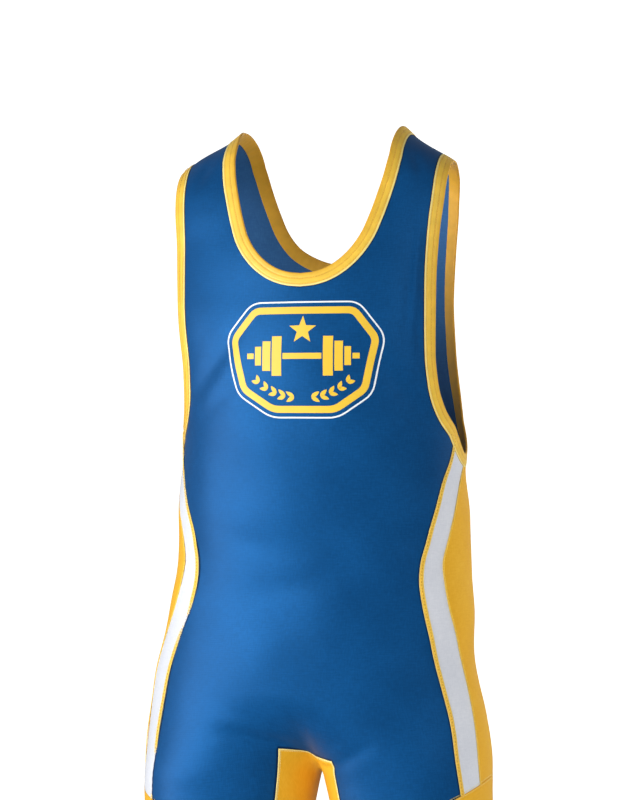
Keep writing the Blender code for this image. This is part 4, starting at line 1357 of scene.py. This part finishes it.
# %% Many small tubes at once
THREAD_WIDE, DASH_PITCH, DASH_LONG, DASH_RISE = 0.00055, 0.0028, 0.0022, 0.00030
LOOP_RISE = 0.00012


def spaced(line, at):
    """Points of a line at given runs along it."""
    run = lengths(line)
    return np.stack([np.interp(at, run, line[:, k]) for k in range(3)], axis=-1)


def tubes(centre, normals, side, wide, high, ring=6):
    """Closed tubes: at each station of each tube a ring of points, wide across and high along the normal."""
    turn = 2 * math.pi * np.arange(ring) / ring
    offset = (side[..., None, :] * (np.cos(turn) * wide / 2)[:, None]
              + normals[..., None, :] * (np.sin(turn) * high / 2)[:, None])
    points = centre[..., None, :] + offset
    count, stations = centre.shape[:2]
    one = grid_quads(stations, ring, False, True)
    cap = np.array([[k, k + 1, ring - 2 - k, ring - 1 - k] for k in range(ring // 2 - 1)])
    one = np.vstack([one, cap[:, ::-1], cap + (stations - 1) * ring])
    quads = one[None] + (np.arange(count) * stations * ring)[:, None, None]
    return points.reshape(-1, 3), quads.reshape(-1, 4)


STATIONS = np.zeros((1, 5, 3))
print("quads in one dash:", len(tubes(STATIONS, STATIONS, STATIONS, THREAD_WIDE, THREAD_WIDE)[1]))


# %% Rows of dashes
def dashes(line, rise, pitch=DASH_PITCH, long=DASH_LONG, wide=THREAD_WIDE):
    """A row of dashes along a line: each an arch, highest in its middle and sunk at both ends."""
    run = lengths(line)[-1]
    count = int(run / pitch)
    t = np.linspace(-0.5, 0.5, 5)
    at = (np.arange(count)[:, None] + 0.5) * run / count + t * long
    centre = spaced(line, np.clip(at, 0, run))
    normals = outward(centre)
    side = unit(np.cross(normals, centre[:, -1:] - centre[:, :1]))
    arch = rise + DASH_RISE * (1 - (2 * t)**2) - 0.0001
    centre = centre + normals * (relief(centre) + arch)[..., None]
    return tubes(centre, normals, side, wide, wide * 0.8)


print("dashes in 100 mm: %.0f" % (0.1 / DASH_PITCH))


# %% Long threads and zigzags
def thread(line, rise, wide, high=None):
    """One long thread laid along a line, at a height off the cloth."""
    normals = outward(line)
    ends = np.vstack([line[:1], line, line[-1:]])
    side = unit(np.cross(normals, ends[2:] - ends[:-2]))
    centre = line + normals * (relief(line) + rise)[..., None]
    return tubes(centre[None], normals[None], side[None], wide, high or wide)


def looper(line, side, half_width, pitch, rise, wide):
    """A zigzag: the line's own run, with a triangle wave sideways between both needle rows."""
    run = lengths(line)[-1]
    at = np.linspace(0, run, int(run / pitch * 6) + 1)
    base, across = spaced(line, at), spaced(line + side, at) - spaced(line, at)
    swing = 2 * np.abs(2 * ((at / pitch) % 1) - 1) - 1
    path = settle(base + across * (swing * half_width)[:, None])
    return thread(path, rise + LOOP_RISE * (1 - swing**2), wide)


print("a looper rises %.2f mm between its needle rows" % (1000 * LOOP_RISE))


# %% Join threads into pieces, and mirror them
def thread_piece(name, parts, finish):
    """Join tubes into one piece."""
    start = np.concatenate([[0], np.cumsum([len(points) for points, _ in parts])])
    points = posed(np.vstack([points for points, _ in parts]))
    quads = np.vstack([quads + first for (_, quads), first in zip(parts, start)])
    return make_piece(name, points, quads, (finish,))


def other_half(parts):
    """The same tubes mirrored, with their faces turned back outwards."""
    return [(mirrored(points), quads[:, ::-1]) for points, quads in parts]


# %% Needle rows along the bindings
CHANNEL_LIFTS = 0.00045, 0.00058


def rail(name, across):
    """The line at a step across a binding, in millimetres."""
    return settle(EDGES[name] + sideways(EDGES[name], OPENINGS[name]) * across / 1000)


def binding_rows(name):
    """Both needle rows of a binding, each at the height of its channel in the cloth."""
    return [dashes(rail(name, across), lift) for across, lift in zip(BINDING_ROWS, CHANNEL_LIFTS)]


thread_piece("neck_binding_stitches", binding_rows("neck"), BINDING_THREAD)
arm_rows = binding_rows("arm")
thread_piece("armhole_stitches_left", arm_rows, BINDING_THREAD)
thread_piece("armhole_stitches_right", other_half(arm_rows), BINDING_THREAD)

# %% Coverstitch bands on the side seams
# Between blue and white the band is 4.6 mm wide and dense; on the other seams a narrow flatlock shows
BAND_HALF, BAND_PITCH, BAND_SHIFT = 0.0023, 0.0013, 0.0016
# Heights off the cloth of the flat bed, the needle rows, the looper and the middle row
BED_LIFT, ROW_LIFT, LOOPER_LIFT, DOT_LIFT = 0.00016, 0.00038, 0.00046, 0.00062
BED_STEP, BED_HIGH, LOOPER_WIDE = 0.0015, 0.00045, 0.0005


def coverstitch(line, toward, shift, half_width, pitch):
    """A flat ribbon of thread under a looper zigzag, with needle rows on both edges and in the middle."""
    side = sideways(line, toward)
    middle = settle(line + side * shift)
    side = sideways(middle, toward)
    fine = resample(middle, int(lengths(middle)[-1] / BED_STEP))
    bed = thread(fine, BED_LIFT, half_width * 2.05, BED_HIGH)
    rows = [dashes(settle(middle + side * edge * half_width), ROW_LIFT, pitch=0.0024,
                   long=0.0021, wide=0.0006) for edge in (-1, 1)]
    zigzag = looper(middle, side, half_width, pitch, LOOPER_LIFT, LOOPER_WIDE)
    dots = dashes(middle, DOT_LIFT, pitch=0.0034, long=0.0019, wide=0.0007)
    return [bed, zigzag], rows, dots


front_bed, front_rows, front_dots = coverstitch(SIDE["front"], OUTWARDS, BAND_SHIFT, BAND_HALF, BAND_PITCH)
back_bed, back_rows, _ = coverstitch(SIDE["back"], OUTWARDS, shift=0.0, half_width=0.0018, pitch=0.0016)
flat_bed, flat_rows, _ = coverstitch(SIDE["seam"], OUTWARDS, shift=0.0004, half_width=0.0009, pitch=0.0013)
for half, flip in (("left", list), ("right", other_half)):
    thread_piece("stripe_coverstitch_" + half, flip(front_bed), THREAD)
    thread_piece("stripe_needle_rows_" + half, flip(front_rows), PALE_THREAD)
    thread_piece("stripe_middle_row_" + half, flip([front_dots]), DEEP_THREAD)
    thread_piece("side_flatlock_" + half, flip(flat_bed + flat_rows), THREAD)
    thread_piece("back_seam_coverstitch_" + half, flip(back_bed + back_rows), THREAD)

# %% Edging of the gusset, cuff seams, hems and shoulder seams
# A raised roll lies just inside the gusset's seam, with a needle row behind it
ROLL_IN, ROLL_LIFT, ROLL_WIDE, ROLL_HIGH, ROLL_POINTS = 0.0006, 0.00030, 0.0017, 0.0008, 180
NEEDLE_IN, NEEDLE_LIFT, PLAIN_LIFT = 0.0022, 0.00012, 0.00010
ABOVE_CUFF, BESIDE_SHOULDER = np.array([0.0, 0.0, 0.0018]), 0.0025


def gusset_edge(face):
    """The gusset's edge on one face: up the left leg, across the middle and down the right leg."""
    line = LINES[face]
    left, top = line["leg_in"], gusset_top_row(line)
    return np.vstack([left, top[::-1][1:], mirrored(left)[::-1][1:]])


UNDER = np.array([0.0, 0.0, -0.80])
edging = []
for face in (FRONT, BACK):
    edge = gusset_edge(face)
    inwards = sideways(edge, UNDER)
    roll = resample(settle(edge + inwards * ROLL_IN), ROLL_POINTS)
    edging.append(thread(roll, ROLL_LIFT, ROLL_WIDE, ROLL_HIGH))
    edging.append(dashes(settle(edge + inwards * NEEDLE_IN), NEEDLE_LIFT))
thread_piece("gusset_edging", edging, PALE_THREAD)

cuff_rows = [dashes(row, NEEDLE_LIFT) for row in cuff_base(CUFF_ROWS)]
cuff_rows += [dashes(settle(CUFF_RING + ABOVE_CUFF), PLAIN_LIFT)]
thread_piece("cuff_stitches_left", cuff_rows, PALE_THREAD)
thread_piece("cuff_stitches_right", other_half(cuff_rows), PALE_THREAD)

seam = resample(shoulder_row(), 40)
shoulder_rows = [dashes(top_point(seam[:, 0], depth), PLAIN_LIFT)
                 for depth in (-BESIDE_SHOULDER, BESIDE_SHOULDER)]
thread_piece("shoulder_stitches_left", shoulder_rows, SHOULDER_THREAD)
thread_piece("shoulder_stitches_right", other_half(shoulder_rows), SHOULDER_THREAD)

# %% [markdown]
# ## The print on the chest
#
# The chest carries a yellow print inside a thin white line. Here it is a plain sports design: a barbell,
# a star and two leaf sprays in an eight-sided frame. A painted map would blur at its edges, so each
# shape is a small grid of its own, lens-shaped, four-sided or a band round a path, and all of them are
# laid on the cloth as a film 0.1 mm thick. The film follows the creases because its points go through
# the same functions as the cloth.

# %% Flat shapes of the print, in millimetres
def four_sided(corners, columns, rows):
    """A grid between four corners: straight lines between the points of two opposite sides."""
    a, b, c, d = (np.array(corner, float) for corner in corners)
    u, v = np.linspace(0, 1, columns + 1)[None, :, None], np.linspace(0, 1, rows + 1)[:, None, None]
    return (1 - v) * ((1 - u) * a + u * b) + v * ((1 - u) * d + u * c)


def bar(left, right, low, high):
    """An upright rectangle with cells of about 2 mm."""
    count = max(1, int((right - left) / 2)), max(1, int((high - low) / 2))
    return four_sided(((left, low), (right, low), (right, high), (left, high)), *count)


def leaf(x, y, lean, long, wide):
    """A leaf: its width follows a sine to the power 0.8, widest just before its middle, with blunt ends."""
    t, s = np.linspace(0.02, 0.98, 13)[None, :], np.linspace(-1, 1, 5)[:, None]
    along, beside = t * long + 0 * s, s * wide / 2 * np.sin(math.pi * t**0.8)**0.8
    c, k = math.cos(math.radians(lean)), math.sin(math.radians(lean))
    return np.stack([x + along * c - beside * k, y + along * k + beside * c], axis=-1)


def star(x, y, reach, inner):
    """Five kites, each between the middle, two valleys and a point."""
    turn = np.radians(90 + 36 * np.arange(10))
    size = np.where(np.arange(10) % 2 == 0, reach, inner)
    rim = np.stack([x + size * np.cos(turn), y + size * np.sin(turn)], axis=1)
    return [four_sided(((x, y), rim[k - 1], rim[k], rim[(k + 1) % 10]), 8, 8) for k in range(0, 10, 2)]


print("cells in a bar of 40 by 6 mm:", len(grid_quads(*bar(-20, 20, 0, 6).shape[:2])))

# %% The eight-sided frame
FRAME_CORNERS = np.array([(54, 55), (80, 22), (68, -34), (34, -57),
                          (-34, -57), (-68, -34), (-80, 22), (-54, 55)], float)
CORNER_CUT, FRAME_POINTS = 9.0, 261


def frame_band(inner, outer, columns):
    """A band round the eight-sided frame: straight sides, and at each corner a curve weighted 1, 2, 1."""
    before = np.roll(FRAME_CORNERS, 1, axis=0) - FRAME_CORNERS
    after = np.roll(FRAME_CORNERS, -1, axis=0) - FRAME_CORNERS
    start = FRAME_CORNERS + CORNER_CUT * before / np.hypot(*before.T)[:, None]
    end = FRAME_CORNERS + CORNER_CUT * after / np.hypot(*after.T)[:, None]
    t = np.linspace(0, 1, 9)[None, :, None]
    path = (1 - t)**2 * start[:, None] + 2 * t * (1 - t) * FRAME_CORNERS[:, None] + t**2 * end[:, None]
    path = path.reshape(-1, 2)
    closed = np.vstack([path, path[:1]])
    run = np.concatenate([[0], np.cumsum(np.hypot(*np.diff(closed, axis=0).T))])
    at = np.linspace(0, run[-1], FRAME_POINTS)
    path = np.stack([np.interp(at, run, closed[:, k]) for k in range(2)], axis=1)
    ahead = np.roll(path[:-1], -1, axis=0) - np.roll(path[:-1], 1, axis=0)
    out = np.stack([-ahead[:, 1], ahead[:, 0]], axis=1) / np.hypot(*ahead.T)[:, None]
    out = np.vstack([out, out[:1]]) * np.sign(np.sum(out * path[:-1]))
    growth = np.linspace(inner, outer, columns + 1)[:, None, None]
    return path[None] + out[None] * growth


print("frame: %.0f mm wide at its outer line" % np.ptp(frame_band(0.0, 3.2, 1)[..., 0]))


# %% Barbell and leaf sprays
# Plates of the barbell in millimetres: the near and the far side, and half the height
PLATES = ((21.4, 31.5, 20.0), (33.0, 41.5, 15.0), (43.0, 49.5, 9.5))
BAR_MIDDLE = 3.0


def barbell():
    """A bar with three plates on each side, each plate a little lower than the last."""
    parts = [bar(-20, 20, 0.0, 6.0)]
    for near, far, half in PLATES:
        low, high = BAR_MIDDLE - half, BAR_MIDDLE + half
        parts += [bar(near, far, low, high), bar(-far, -near, low, high)]
    return parts + [bar(51.0, 58, 0.2, 5.8), bar(-58, -51.0, 0.2, 5.8)]


def sprays():
    """Two leaf sprays below the bar: pairs of leaves along a parabola that rises from the middle."""
    parts = []
    for k in range(5):
        x, y = 9.0 + 9.2 * k, -38.5 + 0.9 * k * k
        lean = 11.0 * k
        for away, long in ((34, 10.0), (-30, 9.6)):
            one = leaf(x, y, lean + away, long - 0.4 * k, 4.2)
            parts += [one, one * np.array([-1.0, 1.0])]
    return parts


YELLOW_SHAPES = [frame_band(-9.5, -2.4, 5)] + star(0, 29, 14.5, 6.0) + barbell() + sprays()
WHITE_SHAPES = [frame_band(1.6, 3.2, 1)]
print("print shapes:", len(YELLOW_SHAPES) + len(WHITE_SHAPES))

# %% Lay the film on the cloth
PRINT_AT, FILM_UNDER, FILM_OVER = np.array([0.0045, -0.2262]), 0.00004, 0.00016


def film_piece(name, shapes, finish):
    """Closed film over each flat shape, between two small heights off the cloth."""
    points, quads, mapped, start = [], [], [], 0
    for shape in shapes:
        flat = PRINT_AT + shape / 1000
        base = face_point(flat[..., 0], flat[..., 1], FRONT)
        cells = grid_quads(*shape.shape[:2])
        base = base.reshape(-1, 3)
        edges = rim_edges(cells)
        corner = base[cells]
        if np.sum(np.cross(corner[:, 2] - corner[:, 0], corner[:, 3] - corner[:, 1])[:, 1]) > 0:
            cells = cells[:, ::-1]
            edges = edges[:, ::-1]
        normals = outward(base)
        lifted = base + relief(base)[:, None] * normals
        points += [lifted + normals * FILM_OVER, lifted + normals * FILM_UNDER]
        quads.append(closed_sheet(cells, edges, len(base)) + start)
        mapped += [flat.reshape(-1, 2)] * 2
        start += 2 * len(base)
    points, quads, mapped = posed(np.vstack(points)), np.vstack(quads), np.vstack(mapped)
    return make_piece(name, points, quads, (finish,), corner_map=mapped[quads])


film_piece("print_yellow", YELLOW_SHAPES, FILM_YELLOW)
film_piece("print_white", WHITE_SHAPES, FILM_WHITE)

# %% [markdown]
# ## Hide the solids that the dressed pieces replace
#
# Every dressed piece stands for one imported solid, and each is a sheet cut flat before it was sewn. The
# suit is cut smaller than it is worn, because the knit stretches on the body: about 12% round it and 4%
# along it. Cuffs and bindings run round, so their long side takes the larger stretch, and a binding keeps
# its width. Each piece carries its worn sizes, measured along the cloth, across and then along; its flat
# size is the worn one divided by that stretch. Here the table pairs each piece with its solid, which is
# hidden.

FRONT_STITCHES = ("shoulder_stitches_", "stripe_coverstitch_", "stripe_needle_rows_", "stripe_middle_row_")
STANDS_FOR = {
    "front_cloth": ("front_panel", ["print_yellow", "print_white"]
                    + [stitches + half for stitches in FRONT_STITCHES for half in HALVES]),
    "back_cloth": ("back_panel", ["back_seam_coverstitch_" + half for half in HALVES]),
    "gusset_cloth": ("gusset", ["gusset_edging"]),
    "neck_binding_cloth": ("neck_binding", ["neck_binding_stitches"]),
}
for half in HALVES:
    STANDS_FOR["stripe_cloth_" + half] = ("stripe_" + half, [])
    STANDS_FOR["side_cloth_" + half] = ("side_" + half, ["side_flatlock_" + half])
    STANDS_FOR["cuff_cloth_" + half] = ("cuff_" + half, ["cuff_stitches_" + half])
    STANDS_FOR["armhole_binding_cloth_" + half] = ("armhole_binding_" + half, ["armhole_stitches_" + half])

for name, (node, trimmings) in STANDS_FOR.items():
    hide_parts(node)

# %% [markdown]
# ## Stage, light and camera
#
# The picture is a plain studio shot on white: a large soft light from the viewer's left, weaker ones
# from the sides, from below and from above, and a background lit to pure white. The stage is a wide
# pale bowl that the camera alone sees, so that the lamps decide how bright the cloth is. Satin shows
# each lamp as a soft streak. The lamps behind and below only fill, so the cloth doesn't mirror them.
# The camera stands level with the chest, a little to the garment's left, and far enough away that the
# perspective is mild.

# %% Make the stage
STAGE_RADIUS, FLOOR_LEVEL, WALL_TOP, STAGE_ROUND = 6.5, -1.35, 3.6, 2.2


def bowl():
    """A floor that curves up into a round wall: a quarter circle between a level and an upright line."""
    turn = np.linspace(0, math.pi / 2, 16)[1:]
    flat = STAGE_RADIUS - STAGE_ROUND
    floor = np.concatenate([[0.05], np.linspace(0.6, flat, 6)])
    radius = np.concatenate([floor, flat + STAGE_ROUND * np.sin(turn), [STAGE_RADIUS]])[:, None]
    rise = np.concatenate([0 * floor, STAGE_ROUND * (1 - np.cos(turn)), [WALL_TOP - FLOOR_LEVEL]])
    round_ = np.linspace(0, 2 * math.pi, 97)[None, :-1]
    height = (FLOOR_LEVEL + rise)[:, None] + 0 * round_
    return np.stack([radius * np.cos(round_), radius * np.sin(round_), height], axis=-1)


grid = bowl()
stage_mesh = bpy.data.meshes.new("stage")
stage_mesh.from_pydata(grid.reshape(-1, 3).tolist(), [], grid_quads(*grid.shape[:2], False, True).tolist()
                       + [list(range(grid.shape[1]))])
stage_mesh.shade_smooth()
STAGE = bpy.data.objects.new("stage", stage_mesh)
bpy.context.scene.collection.objects.link(STAGE)

# Matt white paper, lit from behind until it reads as pure white. It adds no light of its own to the cloth
paper, tree, shader = start_finish("matt_white_paper")
connect(tree, shader, {"Base Color": linear("F4F4F4"), "Roughness": 0.9,
                       "Emission Color": (1.0, 1.0, 1.0, 1.0), "Emission Strength": 1.0})
stage_mesh.materials.append(paper)
STAGE.visible_diffuse = STAGE.visible_glossy = STAGE.visible_shadow = False
print("stage radius: %.1f m" % STAGE_RADIUS)


# %% Light it
def soft_light(name, place, size, power, shine=True):
    """A rectangular area light that faces the suit's middle; without shine the cloth doesn't mirror it."""
    light = bpy.data.lights.new(name, "AREA")
    light.shape, light.size, light.size_y = "RECTANGLE", size[0], size[1]
    light.energy = power
    lamp = bpy.data.objects.new(name, light)
    bpy.context.scene.collection.objects.link(lamp)
    lamp.location = place
    ahead = unit(MIDDLE - np.array(place))
    lamp.rotation_euler = (math.acos(-ahead[2]), 0.0, math.atan2(ahead[0], -ahead[1]) + math.pi)
    lamp.visible_glossy = shine


MIDDLE = np.array([0.0, 0.0, -0.36])
soft_light("key", (-1.32, -1.85, -0.10), (1.3, 1.6), 42.0)
soft_light("left_edge", (-2.10, -1.00, -0.80), (1.0, 1.6), 21.0)
soft_light("right_edge", (2.05, 1.00, -0.30), (1.0, 1.8), 29.0, shine=False)
soft_light("right_high", (1.80, -1.40, 0.45), (1.2, 1.2), 6.5)
soft_light("low_fill", (0.45, -1.9, -1.50), (1.2, 0.8), 21.0, shine=False)
soft_light("behind", (0.5, 2.5, 0.1), (1.6, 1.6), 28.0, shine=False)
# Light from all round, as white walls give it
WALL_LIGHT = 0.19
world = bpy.data.worlds.new("studio")
world.use_nodes = True
world.node_tree.nodes["Background"].inputs["Color"].default_value = (1.0, 1.0, 1.0, 1.0)
world.node_tree.nodes["Background"].inputs["Strength"].default_value = WALL_LIGHT
bpy.context.scene.world = world
bpy.context.scene.view_settings.view_transform = "Standard"
print("lamps:", len(bpy.data.lights))

# %% Set the camera
YAW, DISTANCE, METRES_A_PIXEL, AIM_DROP, AIM_LEFT = math.radians(13), 3.0, 0.00105, -0.26775, -0.011
SENSOR_WIDE, PICTURE_PIXELS = 36.0, 800
camera_data = bpy.data.cameras.new("camera")
camera_data.sensor_width = SENSOR_WIDE
camera_data.lens = SENSOR_WIDE * DISTANCE / (METRES_A_PIXEL * PICTURE_PIXELS)
camera_data.clip_end = 60.0
CAMERA = bpy.data.objects.new("camera", camera_data)
bpy.context.scene.collection.objects.link(CAMERA)
aim = np.array([AIM_LEFT * math.cos(YAW), AIM_LEFT * math.sin(YAW), AIM_DROP])
CAMERA.location = aim + DISTANCE * np.array([math.sin(YAW), -math.cos(YAW), 0.0])
CAMERA.rotation_euler = (math.radians(90), 0.0, YAW)
bpy.context.scene.camera = CAMERA
print("lens: %.1f mm" % camera_data.lens)
